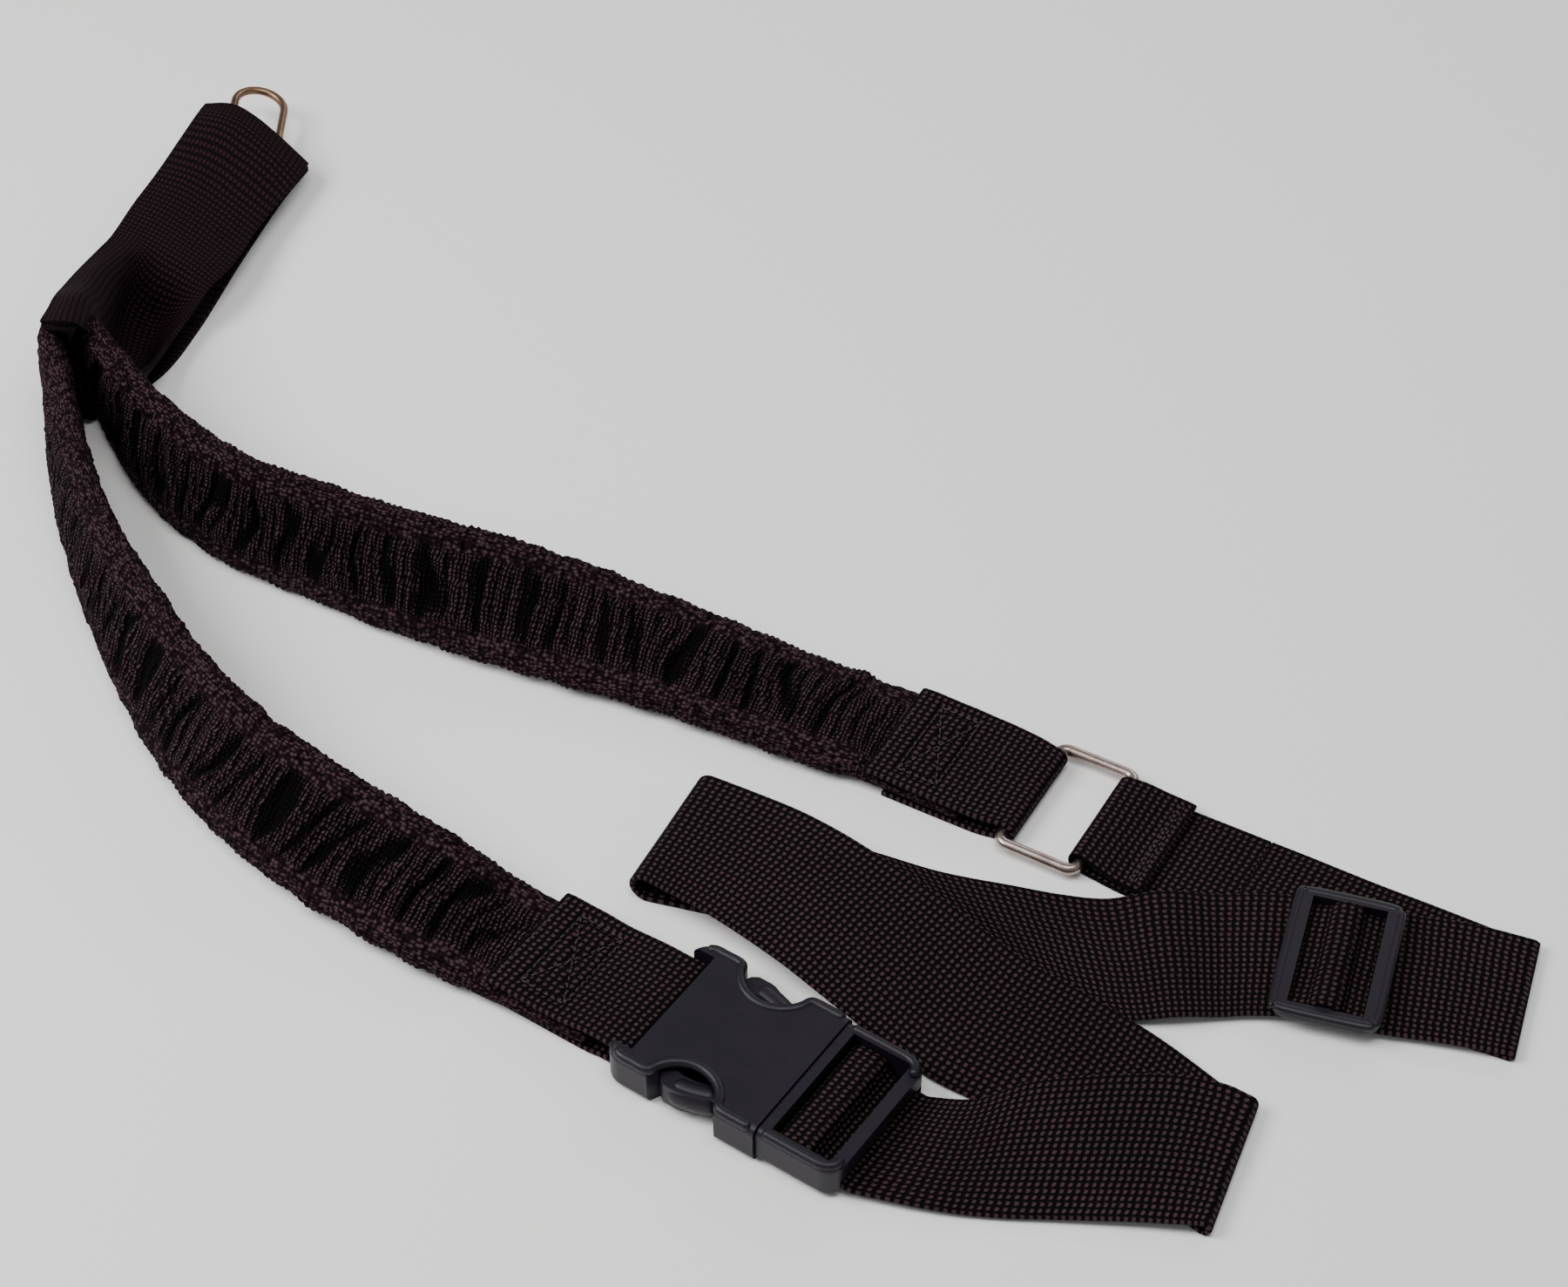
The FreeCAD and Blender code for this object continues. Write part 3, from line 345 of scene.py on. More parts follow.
# both nickel colours lean warm: partly the plating's own tint, partly a painted reflection of warm surroundings
nickel = plated_wire("satin_nickel_plate", "8c7c74", "b8aaa4", 0.30)
# the tether ring is the same dull plated metal; its brownish tint is a painted warm reflection of the surroundings
# over the metal's own dull grey
warm_reflection_wire = plated_wire("dull_wire_with_painted_warm_reflection", "6a5242", "9a8068", 0.38)
thread = nylon_thread("bonded_nylon_thread", "0d080a", "3a2d32")


def dress(piece, mat, body, replaced=()):
    """Gives a piece its material, the CAD nodes it stands for and the body it rides on."""
    piece.data.materials.clear()
    piece.data.materials.append(mat)
    if replaced:
        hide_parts(*replaced)
    if body:
        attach(piece, body)
    return piece


for mat, names in ((plastic, ("buckle_housing", "buckle_frame", "prong_left", "prong_right", "tri_glide")),
                   (nickel, ("rectangular_ring",)), (warm_reflection_wire, ("tether_ring",))):
    for name in names:
        nodes[name].data.materials.clear()
        nodes[name].data.materials.append(mat)

# ---------------------------------------------------------------- gathered sleeve, one tube through both arms
SLEEVE_WIDE = 37.0
SLEEVE_THICK = 10.0
GATHER = 3.7        # spacing of the ridges across the panel
CREASE = 1.9        # spacing of the finer creases on them
FURROW = 13.0       # spacing of the deepest valleys
KNOT = 2.3          # spacing of the bumps along the rims
MOST_PAINTED_SHADE = 0.62      # how far painted shade in a sunken part darkens the knit at most
FOLD = Vector((-212.5, 74.0, 0.0))
FOLD_HIGH = SLEEVE_WIDE / 2 + 2.6
REACH = 1.5 + SLEEVE_THICK / 2
TAB_SPACE = 3.9
# plan place, roll (90 stands on edge) and share of the full thickness, from the fold outwards
BUCKLE_ARM = [(-209.5, 30.5, 79), (-196, -8.5, 76), (-179.5, -42.5, 67), (-161.5, -73.5, 59), (-141, -98.5, 51),
              (-118.5, -117.5, 39), (-96, -132, 25), (-78, -142.5, 12)]
RING_ARM = [(-184, 40.5, 76), (-157.5, 13.5, 72), (-128, -2.5, 67), (-100, -15.5, 58), (-72, -25, 42),
            (-44, -33.5, 24), (-17, -42.5, 10), (10, -55, 4), (30, -64.5, 2)]


def arm_keys(start_heading, side, middle, end):
    """An arm's line from the fold: each place is as high as the rolled sleeve needs to rest on the table."""
    first = FOLD + heading(start_heading + side, REACH)
    keys = [(first.x, first.y, FOLD_HIGH, 90.0, 1.0)]
    for x, y, roll in middle:
        angle = math.radians(roll)
        rest = SLEEVE_WIDE / 2 * math.sin(angle) + SLEEVE_THICK / 2 * math.cos(angle)
        keys.append((x, y, rest, roll, 1.0))
    return keys + end


EASE_ROWS = 8       # rows over which an arm comes into its first heading
TURN_STEPS = 19     # rows round the fold


def arm_rows(keys, first_heading, turn):
    """Rows of (place, across, up, share) along an arm, walking away from the fold."""
    line, _ = even(flow(keys, 220), 0.9)
    rows = []
    for i, row in enumerate(line):
        a, b = line[max(i - 1, 0)], line[min(i + 1, len(line) - 1)]
        way = Vector((b[0] - a[0], b[1] - a[1], 0)).normalized()
        if i < EASE_ROWS:
            way = way.lerp(heading(first_heading), 1 - i / EASE_ROWS).normalized()
        left = Vector((-way.y, way.x, 0))
        angle = math.radians(row[3])
        across = left * math.cos(angle) + Vector((0, 0, math.sin(angle)))
        up = way.cross(across).normalized() * turn
        rows.append((Vector(row[:3]), across, up, row[4]))
    return rows


# both arms end pressed flat between the plies of the sewn tabs
buckle_end = [(-60.5, -150.5, TAB_SPACE, 2, 0.46), (-32, -167.5, TAB_SPACE, 0, 0.4)]
ring_end_keys = [(45.6, -70.1, TAB_SPACE, 0, 0.46), (72, -85, TAB_SPACE, 0, 0.4)]
buckle_rows = arm_rows(arm_keys(282, -90, BUCKLE_ARM, buckle_end), 282, 1)
ring_rows = arm_rows(arm_keys(307, 90, RING_ARM, ring_end_keys), 307, -1)
turn_rows = []
for step in range(1, TURN_STEPS):
    out = heading(192 - 155 * step / TURN_STEPS)
    turn_rows.append((FOLD + out * REACH + Vector((0, 0, FOLD_HIGH)), Vector((0, 0, 1)), out, 1.0))
sleeve_rows = buckle_rows[::-1] + turn_rows + ring_rows
sleeve_marks = [0.0]
for a, b in zip(sleeve_rows, sleeve_rows[1:]):
    sleeve_marks.append(sleeve_marks[-1] + (b[0] - a[0]).length)
SLEEVE_LONG = sleeve_marks[-1]
FOLD_MARK = sleeve_marks[len(buckle_rows)]


def ring_share(u):
    """u round a closed tube, whose last column meets its first."""
    return u % 1.0 if u < 0.9999999 else 0.0


def sleeve_point(u, v):
    """A point of the sleeve in millimetres, u round it and v along it, and the painted shade of its sunken parts.
    """
    at = v * (len(sleeve_rows) - 1)
    i = min(int(at), len(sleeve_rows) - 2)
    t = at - i
    here, ahead = sleeve_rows[i], sleeve_rows[i + 1]
    centre = here[0].lerp(ahead[0], t)
    across = here[1].lerp(ahead[1], t).normalized()
    up = here[2].lerp(ahead[2], t).normalized()
    share = here[3] + (ahead[3] - here[3]) * t
    s = sleeve_marks[i] + (sleeve_marks[i + 1] - sleeve_marks[i]) * t
    angle = 2 * math.pi * u
    c, d = math.cos(angle), math.sin(angle)
    y = math.copysign(abs(c) ** 0.92, c)
    z = math.copysign(abs(d) ** 0.80, d)
    face = 1 if d >= 0 else -1
    # the panel between the rims is gathered into ridges across it; the rims are crowded with small bumps
    near_fold = min(1.0, max(0.0, (FOLD_MARK - s - 15) / 110)) if s < FOLD_MARK else 1.0
    panel = max(0.0, 1 - (abs(y) / (0.30 + 0.34 * near_fold)) ** 6)
    lean = 0.55 if s < FOLD_MARK else -0.12
    sway = 1.5 * wobble(s / 19, y * 0.8 + 3 * face, 1.7) + 0.45 * wobble(s / 6, y * 1.3, 5.1 * face)
    ridge = abs(math.cos(math.pi * (s / GATHER + sway + lean * y)))
    thin = abs(math.cos(math.pi * (s / CREASE + 1.7 * sway + 1.6 * lean * y + 0.4)))
    furrow = max(0.0, math.cos(2 * math.pi * (s / FURROW + 0.5 * sway + 0.6 * lean * y))) ** 3
    valley = furrow * (0.6 + 1.1 * max(0.0, 0.5 + wobble(s / 8, 6.1, 2.7 * face)))
    dip = panel * ((1 - ridge ** 0.8) + 0.45 * (1 - thin) + 1.2 * valley)
    grain = 0.42 * wobble(s / 1.25, angle * SLEEVE_WIDE / 4.6, 0.3)
    knots = 0.26 * math.cos(2 * math.pi * (s / KNOT + 0.8 * wobble(s / 7, angle, 4.0)))
    knob = (1 - panel) * (grain + knots)
    # a groove runs where the rim meets the panel
    groove = 0.6 * math.exp(-((abs(y) - 0.63) / 0.06) ** 2) if abs(d) > 0.3 else 0.0
    lump = 0.7 * wobble(s / 9, angle * 1.1, 9.0)
    # all of it fades where the sleeve is pressed flat between the plies of a tab
    soft = min(1.0, max(0.12, (share - 0.4) / 0.35))
    rise = (knob + lump - dip - groove) * soft + 0.35 * soft
    edge = 0.9 * wobble(s / 7.5, 3.0 + (1 if c > 0 else -1), 0.0) + 0.3
    wide = SLEEVE_WIDE / 2 + edge * soft + 0.9 * (1 - soft)
    point = centre + across * (wide * y) + up * (SLEEVE_THICK / 2 * share * z)
    outward = (across * (c * 0.35) + up * d * 1.2).normalized()
    point = point + outward * rise
    point.z = max(point.z, 0.15)
    # the second number is painted shade, deepest in the valleys of the gathers and in the rim grooves
    return point, max(0.0, min(MOST_PAINTED_SHADE, 0.70 * dip + 0.3 * groove - 0.28)) * soft


def sleeve_surface(u, v):
    point, shade = sleeve_point(ring_share(u), v)
    return (point + SHIFT) * MM, shade


sleeve = cloth("gathered_sleeve", 60, round(SLEEVE_LONG / 0.52), sleeve_surface, (GIRTH, SLEEVE_LONG),
               closed=True)
dress(sleeve, knit, "belt",
      ("buckle_arm_sleeve", "ring_arm_sleeve", "sleeve_fold", "buckle_arm_elastic", "ring_arm_elastic"))

# ---------------------------------------------------------------- straps
THICK = 1.6     # of the webbing
LOW = 0.8       # middle of webbing that lies on the table
SECOND = 3.2    # middle of webbing that lies on another run
WIDE = 44.0
WIRE_GAP = 0.3  # between a bar and the webbing round it


def edge_pair(x, y, way, wide, far_z, near_z):
    """Both edges of a strap that passes (x, y) along way, as one row of six numbers."""
    side = heading(way + 90, wide / 2)
    return (x + side.x, y + side.y, far_z, x - side.x, y - side.y, near_z)


def fold_pair(far, near, out, low, high, steps):
    """Rows of a fold between two levels, bulging along out."""
    radius = (high - low) / 2
    rows = []
    for step in range(steps + 1):
        angle = math.radians(-90 + 180 * step / steps)
        push = out * (radius * math.cos(angle))
        z = low + radius + radius * math.sin(angle)
        rows.append((far[0] + push.x, far[1] + push.y, z, near[0] + push.x, near[1] + push.y, z))
    return rows


def even_pairs(rows, step):
    """The rows at even spacing along the strap's middle, and its length."""
    middles = [((r[0] + r[3]) / 2, (r[1] + r[4]) / 2, (r[2] + r[5]) / 2, *r) for r in rows]
    spread, length = even(middles, step)
    return [r[3:] for r in spread], length


def strap(name, runs, width, step=1.1, columns=22, ripple=0.25, thick=THICK):
    """A strap whose edge lines run through the rows; runs is a list of (rows, count) smoothed one by one."""
    rows = []
    for keys, count in runs:
        part = flow(keys, count) if count else list(keys)
        rows += part if not rows else part[1:]
    rows, length = even_pairs(rows, step)

    def surface(u, v):
        r = lookup(rows, v)
        far, near = Vector(r[:3]), Vector(r[3:])
        point = far.lerp(near, u)
        point.z += ripple * wobble(u * 2.2, v * length / 22, len(name))
        return (point + SHIFT) * MM
    return cloth(name, columns, len(rows) - 1, surface, (width, length), thick=thick), length


RING_WAY = -29.5
RING_CENTRE = Vector((95.1, -97.9, 0.0))
RING_HIGH = 3.65
RING_HALF = 12.15   # from the middle of the ring to each long bar
RING_WIRE = 1.75    # half the wire's thickness
LOOP_LONG = 20.0


def local_rows(path, base, way, half):
    """Rows of a strap bent in the upright plane through base along way.

    path is (x, z), or (x, z, half width) where the strap's width changes.
    """
    rows = []
    side = heading(way + 90)
    for step in path:
        middle = base + heading(way, step[0])
        w = step[2] if len(step) > 2 else half
        rows.append((middle.x + side.x * w, middle.y + side.y * w, step[1],
                     middle.x - side.x * w, middle.y - side.y * w, step[1]))
    return rows


def bow(x, z, radius, start, end, steps, half):
    """Steps of a path that turns round (x, z) from one angle to the other."""
    path = []
    for step in range(steps + 1):
        angle = math.radians(start + (end - start) * step / steps)
        path.append((x + radius * math.cos(angle), z + radius * math.sin(angle), half))
    return path


# loop on the ring, its hem on top, then the lower run as far as the upper run covers it
loop_base = RING_CENTRE + heading(RING_WAY, RING_HALF)
loop_wrap = RING_WIRE + WIRE_GAP + THICK / 2
loop_path = ([(LOOP_LONG + 0.2, 3.5, 19.2), (LOOP_LONG - 2, 3.9, 19.2), (12, 4.4, 19.0), (5, 5.9, 18.2)]
             + bow(0, RING_HIGH, loop_wrap, 78, 262, 12, 17.4)
             + [(6, 1.0, 18.4), (13, LOW, 19.0), (LOOP_LONG, LOW, 19.2)])
loop_rows = local_rows(loop_path, loop_base, RING_WAY, 19.2)
lower_keys = [loop_rows[-1], edge_pair(132, -119.5, -30, 40, LOW, LOW),
              edge_pair(143, -126.5, -30.5, 41.5, LOW, LOW)]
ring_end, ring_end_long = strap("adjuster_ring_end", [(loop_rows, 120), (lower_keys, 30)], 39.0, step=0.9,
                                ripple=0.12)
dress(ring_end, webbing, None, ("ring_loop",))
blend_from = loop_base + heading(RING_WAY, 8)
blend_to = loop_base + heading(RING_WAY, 38)
tuple(spot(*blend_from[:2], 1))
tuple(spot(*blend_to[:2], 1))
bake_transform(ring_end)

# the long S of the adjuster on the table
fold_far, fold_near = (223.2, -147.2), (210.4, -187.6)
fold_out = heading(-17.6)
roll_far, roll_near = (-7.2, -91.2), (-26.4, -130.2)
roll_out = heading(154)
turn_far, turn_near = (138.2, -203.2), (122.1, -245.1)
turn_out = heading(-21)
ROLL_TOP = 9.6
lower_rest = [edge_pair(143, -126.5, -30.5, 41.5, LOW, LOW), edge_pair(170, -143, -31, WIDE, LOW, LOW),
              edge_pair(196, -157, -25, WIDE, LOW, LOW), (*fold_far, LOW, *fold_near, LOW)]
upper = [(*fold_far, SECOND, *fold_near, SECOND), edge_pair(200, -162.5, -14, WIDE, SECOND, SECOND),
         edge_pair(180, -158.5, -13, WIDE, SECOND, SECOND), edge_pair(160, -153.5, -12, WIDE, SECOND, SECOND),
         edge_pair(146, -152.0, -9, WIDE, SECOND, SECOND), edge_pair(134, -152.3, -4, WIDE, SECOND, SECOND),
         edge_pair(120, -153.6, 1, WIDE, 6.0, 4.8), edge_pair(107, -153.4, 6, WIDE, 2.6, 3.0),
         edge_pair(95, -151.4, 10, WIDE, 2.4, 2.2), edge_pair(83, -147.5, 15, WIDE, 2.4, 1.6),
         edge_pair(66, -140.5, 21, WIDE, LOW, LOW), edge_pair(50, -133, 25, WIDE, LOW, LOW),
         edge_pair(16, -122, 14, WIDE, LOW, LOW), (*roll_far, LOW, *roll_near, LOW)]
top = [(*roll_far, ROLL_TOP, *roll_near, ROLL_TOP), edge_pair(5, -124, -36, WIDE, 11.5, 8.0),
       edge_pair(25, -140, -40, WIDE, 12.5, 6.5), edge_pair(46, -159, -41, WIDE, 12.5, 3.5),
       edge_pair(65, -176, -37, WIDE, 10.0, 1.6), edge_pair(83, -187, -33, WIDE, 7.0, 1.0),
       edge_pair(101, -199, -32, WIDE, 4.0, LOW), edge_pair(116, -210.5, -27, WIDE, 1.6, LOW),
       (*turn_far, LOW, *turn_near, LOW)]
adjuster, adjuster_long = strap("adjuster_webbing", [
    (lower_rest, 60), (fold_pair(fold_far, fold_near, fold_out, LOW, SECOND, 12), 0), (upper, 200),
    (fold_pair(roll_far, roll_near, roll_out, LOW, ROLL_TOP, 16), 0), (top, 180)], WIDE, step=1.1, ripple=0.2)
dress(adjuster, webbing, "belt",
      ("lower_run", "first_fold", "upper_run", "rolled_fold", "top_run"))

# webbing in the buckle frame, the return run on top of the diagonal, and the second fold
BUCKLE = (18.1, -202.0, -34.6)      # where the housing meets the frame, and the way the frame points
buckle_seam = Vector((BUCKLE[0], BUCKLE[1], 0))
front_x, back_x, over_z = 4.7, 14.3, 9.5
bar_path = [(21.0, LOW), (12.0, LOW), (front_x + 2.4, LOW + 0.1), (front_x + 0.5, LOW + 0.9),
            (front_x, LOW + 2.6), (front_x, over_z - 2.0), (front_x + 0.6, over_z - 0.5),
            (front_x + 2.0, over_z + 0.1), ((front_x + back_x) / 2, over_z + 0.2), (back_x - 2.0, over_z + 0.1),
            (back_x - 0.6, over_z - 0.5), (back_x, over_z - 2.0), (back_x + 0.8, over_z - 4.0),
            (back_x + 2.4, 3.9), (back_x + 5, 3.2), (28.0, 3.2)]
bar_rows = local_rows(bar_path, buckle_seam, BUCKLE[2], 19.0)
turn_rims = ((*turn_far, 5.2), (*turn_near, 4.6))
back_rows = [bar_rows[-1], (65, -204.6, 5.4, 51, -238.5, 2.6), (79, -200.2, 7.2, 67, -240.5, 1.8),
             (95, -198.4, 7.6, 84, -241.5, 2.2), (117, -197.4, 6.8, 104, -243, 3.4),
             (131, -199.6, 5.8, 117, -244.4, 4.2), (*turn_rims[0], *turn_rims[1])]
TURN_BACK = 12
end_rows = []
for step in range(TURN_BACK + 1):
    angle = math.radians(90 - 180 * step / TURN_BACK)
    row = []
    for x, y, z in turn_rims:
        radius = (z - LOW) / 2
        push = radius * math.cos(angle)
        row += [x + turn_out.x * push, y + turn_out.y * push, z + radius * (math.sin(angle) - 1)]
    end_rows.append(tuple(row))
return_runs = [(bar_rows, 150), (back_rows, 120), (end_rows, 0)]
return_strap, return_long = strap("adjuster_buckle_end", return_runs, 42.0, step=1.0, ripple=0.18)
dress(return_strap, webbing, None, ("buckle_wrap", "return_run", "second_fold"))
tuple(spot(*(buckle_seam + heading(BUCKLE[2], 30))[:2], 3))
tuple(spot(*(buckle_seam + heading(BUCKLE[2], 118))[:2], 3))
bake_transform(return_strap)

# webbing hump over the tri-glide's bar
GLIDE = (166.6, -157.0, -16.5)      # middle of the tri-glide and the way it points
GLIDE_LIFT = 4.5
hump_path = [(-10.4, 0.9), (-7.6, 1.0), (-4.6, 1.9), (-3.6, 3.4), (-1.9, 4.6), (0, 4.8), (1.9, 4.6),
             (3.6, 3.4), (4.6, 1.9), (7.6, 1.0), (10.4, 0.9)]
hump_path = [(x, z + GLIDE_LIFT) for x, z in hump_path]
hump_rows = local_rows(hump_path, Vector((GLIDE[0], GLIDE[1], 0)), GLIDE[2], 19.0)
hump, hump_long = strap("glide_hump", [(hump_rows, 60)], 38.0, step=0.7, ripple=0.1)
dress(hump, webbing, "glide", ("glide_webbing",))


# ---------------------------------------------------------------- sewn tabs with box-and-cross stitching
TAB_HALF = 19.2
SEAM_HALF = 14      # from the middle of a tab to the long seams of its box
CLEAR = 9.0         # a distance at which a seam no longer pulls the webbing down


def tab_path(bar_z, radius, long, turn_half):
    """The tab from its end on top, round the bar, to its end on the table."""
    wrap = radius + WIRE_GAP + THICK / 2
    top = [(-long, 7.0, 18.9), (-long + 1.2, 7.4, 19.0), (-long + 8, 7.5, 19.1), (-long + 22, 7.2, 19.1),
           (-wrap - 6, bar_z + wrap + 0.2, 18.8)]
    under = max(bar_z - wrap, LOW)
    bottom = [(-wrap - 4, (under + LOW) / 2, 18.8), (-14, LOW, 19.1), (-long + 6, LOW, 19.2)]
    return top + bow(0, bar_z, wrap, 92, -92, 12, turn_half) + bottom


def sewn_tab(name, bar_z, radius, long, turn_half, base, way, a, b):
    """Webbing turned back over a bar, pulled down along the box and cross sewn from a to b."""
    rows = local_rows(tab_path(bar_z, radius, long, turn_half), base, way, TAB_HALF)
    rows, length = even_pairs(flow(rows, 150), 0.75)
    top_share = (long + 2) / length
    slope = 2 * SEAM_HALF / (b - a)

    def surface(u, v):
        r = lookup(rows, v)
        far, near = Vector(r[:3]), Vector(r[3:])
        point = far.lerp(near, u)
        x = v * length - long
        y = (0.5 - u) * 2 * TAB_HALF
        if v < top_share:
            beside = abs(y) < SEAM_HALF + 0.5
            within = a - 0.5 < x < b + 0.5
            off = [CLEAR]
            if beside:
                off += [abs(x - a), abs(x - b)]
            if within:
                off.append(abs(abs(y) - SEAM_HALF))
            if beside and within:
                off += [abs((x - (a + b) / 2) * slope * sign - y) / math.hypot(slope, 1) for sign in (1, -1)]
            near_box = a - 2 < x < b + 2 and abs(y) < 16.5
            sag = 0.9 * math.exp(-(min(off) / 1.1) ** 2) if near_box else 0.0
            point.z += 0.35 * wobble(x / 9, y / 9, len(name)) - sag
        return (point + SHIFT) * MM
    tab = cloth(name, 60, len(rows) - 1, surface, (2 * TAB_HALF, length), thick=THICK)
    return tab, length, rows


def box_and_cross(a, b, half=SEAM_HALF):
    """Six seams: the box from a to b along the tab, and the cross in it."""
    return [((a, -half), (a, half)), ((b, -half), (b, half)), ((a, -half), (b, -half)),
            ((a, half), (b, half)), ((a, -half), (b, half)), ((a, half), (b, -half))]


STITCH = 2.6                        # from stitch to stitch
STITCH_HALF = (1.15, 0.34, 0.26)    # half a stitch's length, breadth and height


def stitches(name, rows, length, long, seams, body, replaced=()):
    """Short rounded stitches along each seam, lying on the webbing of rows."""
    bm = bmesh.new()
    for (ax, ay), (bx, by) in seams:
        count = max(2, round(math.hypot(bx - ax, by - ay) / STITCH))
        for i in range(count):
            t = (i + 0.5) / count
            x, y = ax + (bx - ax) * t, ay + (by - ay) * t
            r = lookup(rows, (x + long) / length)
            far, near = Vector(r[:3]), Vector(r[3:])
            place = far.lerp(near, 0.5 - y / (2 * TAB_HALF))
            across = (far - near).normalized()
            ahead = lookup(rows, min(1, (x + long + 1) / length))
            along = ((Vector(ahead[:3]) + Vector(ahead[3:])) / 2 - (far + near) / 2).normalized()
            up = across.cross(along).normalized()
            if up.z < 0:
                up = -up
            way = (along * (bx - ax) + across * (by - ay)).normalized()
            turn = Matrix((way, up.cross(way), up)).transposed().to_4x4()
            turn.translation = (place + SHIFT + up * (THICK / 2 - 0.12)) * MM
            shape = turn @ Matrix.Diagonal((*(half * MM for half in STITCH_HALF), 1))
            bmesh.ops.create_icosphere(bm, subdivisions=1, radius=1.0, matrix=shape)
    return dress(piece_of(name, bm), thread, body, replaced)


ring_bar = RING_CENTRE - heading(RING_WAY, RING_HALF)
ring_tab, ring_tab_long, ring_tab_rows = sewn_tab(
    "ring_tab_webbing", RING_HIGH, RING_WIRE, 45.0, 17.5, ring_bar, RING_WAY, -36.4, -23.6)
dress(ring_tab, webbing, "belt", ("ring_tab",))
stitches("ring_tab_thread", ring_tab_rows, ring_tab_long, 45.0,
         box_and_cross(-36.4, -23.6) + [((-43.4, -18), (-43.4, 18)), ((-13.0, -15), (-13.0, 15))],
         "belt", ("ring_tab_stitching",))
buckle_bar = buckle_seam + heading(BUCKLE[2], -47.2)
buckle_tab, buckle_tab_long, buckle_tab_rows = sewn_tab(
    "buckle_tab_webbing", 5.2, 2.2, 46.0, 19.0, buckle_bar, BUCKLE[2], -37.4, -22.6)
dress(buckle_tab, webbing, "belt", ("buckle_tab",))
stitches("buckle_tab_thread", buckle_tab_rows, buckle_tab_long, 46.0,
         box_and_cross(-37.4, -22.6) + [((-44.4, -18), (-44.4, 18))], "belt", ("buckle_tab_stitching",))
# two rows of stitches hold the hem of the ring loop
hem_rows, hem_long = even_pairs(flow(loop_rows, 120), 0.9)
stitches("ring_loop_thread", hem_rows, hem_long, 0.0,
         [((3.0, -17), (3.0, 17)), ((4.8, -17), (4.8, 17))], "ring")


# ---------------------------------------------------------------- moulded rims and buttons of the buckle
def bead(name, path, wide, high, body, level, place=BUCKLE):
    """A rounded rib, wide by high, along a path of (x, y) in the (x, y, turn) of place, with rounded ends."""
    loop = path[0] == path[-1]
    line, length = even([(x, y, 0.0) for x, y in flow(path, 160)], 0.35)
    turn = Matrix.Rotation(math.radians(place[2]), 4, "Z")
    middle = Vector((place[0], place[1], 0))

    def surface(u, v):
        x, y, _ = lookup(line, v)
        a, b = (lookup(line, w % 1.0 if loop else min(1, max(0, w))) for w in (v - 0.01, v + 0.01))
        way = Vector((b[0] - a[0], b[1] - a[1], 0)).normalized()
        side = Vector((-way.y, way.x, 0))
        left = wide if loop else min(v, 1 - v) * length
        small = math.sqrt(max(0.0, 1 - (1 - min(1.0, left / (wide / 2))) ** 2)) + 0.02
        angle = 2 * math.pi * ring_share(u)
        point = Vector((x, y, level)) + side * (wide / 2 * small * math.cos(angle))
        point = point + Vector((0, 0, high / 2 * small * math.sin(angle)))
        return (turn @ point + middle + SHIFT) * MM, 0.0
    rib = cloth(name, 20, len(line) - 1, surface, (wide * 3, length), closed=True)
    return dress(rib, plastic, body)


for side, sign in (("left", 1), ("right", -1)):
    # the housing's rim dips round the finger scoop
    scoop = []
    for degrees in range(-162, -17, 12):
        angle = math.radians(degrees)
        scoop.append((-23.75 + 12.0 * math.cos(angle), sign * (25.4 + 12.0 * math.sin(angle))))
    housing = [(-46.5, sign * 21.0), (-44.0, sign * 22.2), (-40.0, sign * 22.3), (-36.6, sign * 22.3), *scoop,
               (-10.6, sign * 22.3), (-6.0, sign * 22.3), (-1.4, sign * 22.3)]
    bead("housing_rim_" + side, housing, 3.0, 3.0, "belt", 12.5)
    frame_path = [(1.6, sign * 21.4), (8.0, sign * 21.4), (16.0, sign * 21.4), (20.5, sign * 21.2),
                  (23.2, sign * 19.6), (24.1, sign * 16.6)]
    bead("frame_rim_" + side, frame_path, 2.8, 2.8, "male_buckle", 11.9)
    button = [(-30.0, sign * 19.2), (-27.0, sign * 19.5), (-23.0, sign * 18.9), (-19.0, sign * 17.7),
              (-15.0, sign * 16.4)]
    bead("prong_button_" + side, button, 8.0, 8.4, side + "_prong", 6.7)

outer = []
for cx, cy, first in ((10.4, 18.0, 0), (-10.4, 18.0, 90), (-10.4, -18.0, 180), (10.4, -18.0, 270)):
    for turned in (0, 45, 90):
        angle = math.radians(first + turned)
        outer.append((cx + 3.9 * math.cos(angle), cy + 3.9 * math.sin(angle)))
bead("glide_rim", [(14.3, 0.0)] + outer + [(14.3, 0.0)], 3.0, 2.2, "glide", 7.6, GLIDE)

# ---------------------------------------------------------------- tether webbing
def tether_cloth(name, stations, shares, columns, count, width, thick=THICK):
    """Cloth whose cross section passes through the same number of points at each station."""
    line = flow([tuple(c for p in points for c in p) for points in stations], count)
    spots = len(shares)
    first = 3 * (spots // 2)
    length = sum(math.dist(a[first:first + 3], b[first:first + 3]) for a, b in zip(line, line[1:]))

    def surface(u, v):
        r = lookup(line, v)
        keys = [tuple(r[3 * i:3 * i + 3]) for i in range(spots)]
        i = max(k for k in range(spots - 1) if shares[k] <= u + 1e-9)
        t = (u - shares[i]) / (shares[i + 1] - shares[i])
        a, b, c, d = keys[max(i - 1, 0)], keys[i], keys[i + 1], keys[min(i + 2, spots - 1)]
        point = Vector([0.5 * (2 * q + (s - p) * t + (2 * p - 5 * q + 4 * s - w) * t * t
                               + (3 * q - p - 3 * s + w) * t ** 3)
                        for p, q, s, w in zip(a, b, c, d)])
        point.z += 0.3 * wobble(u * 2.5, v * length / 18, 6.0)
        point.z = max(point.z, 0.8)
        return (point + SHIFT) * MM
    return cloth(name, columns, count, surface, (width, length), thick=thick), length


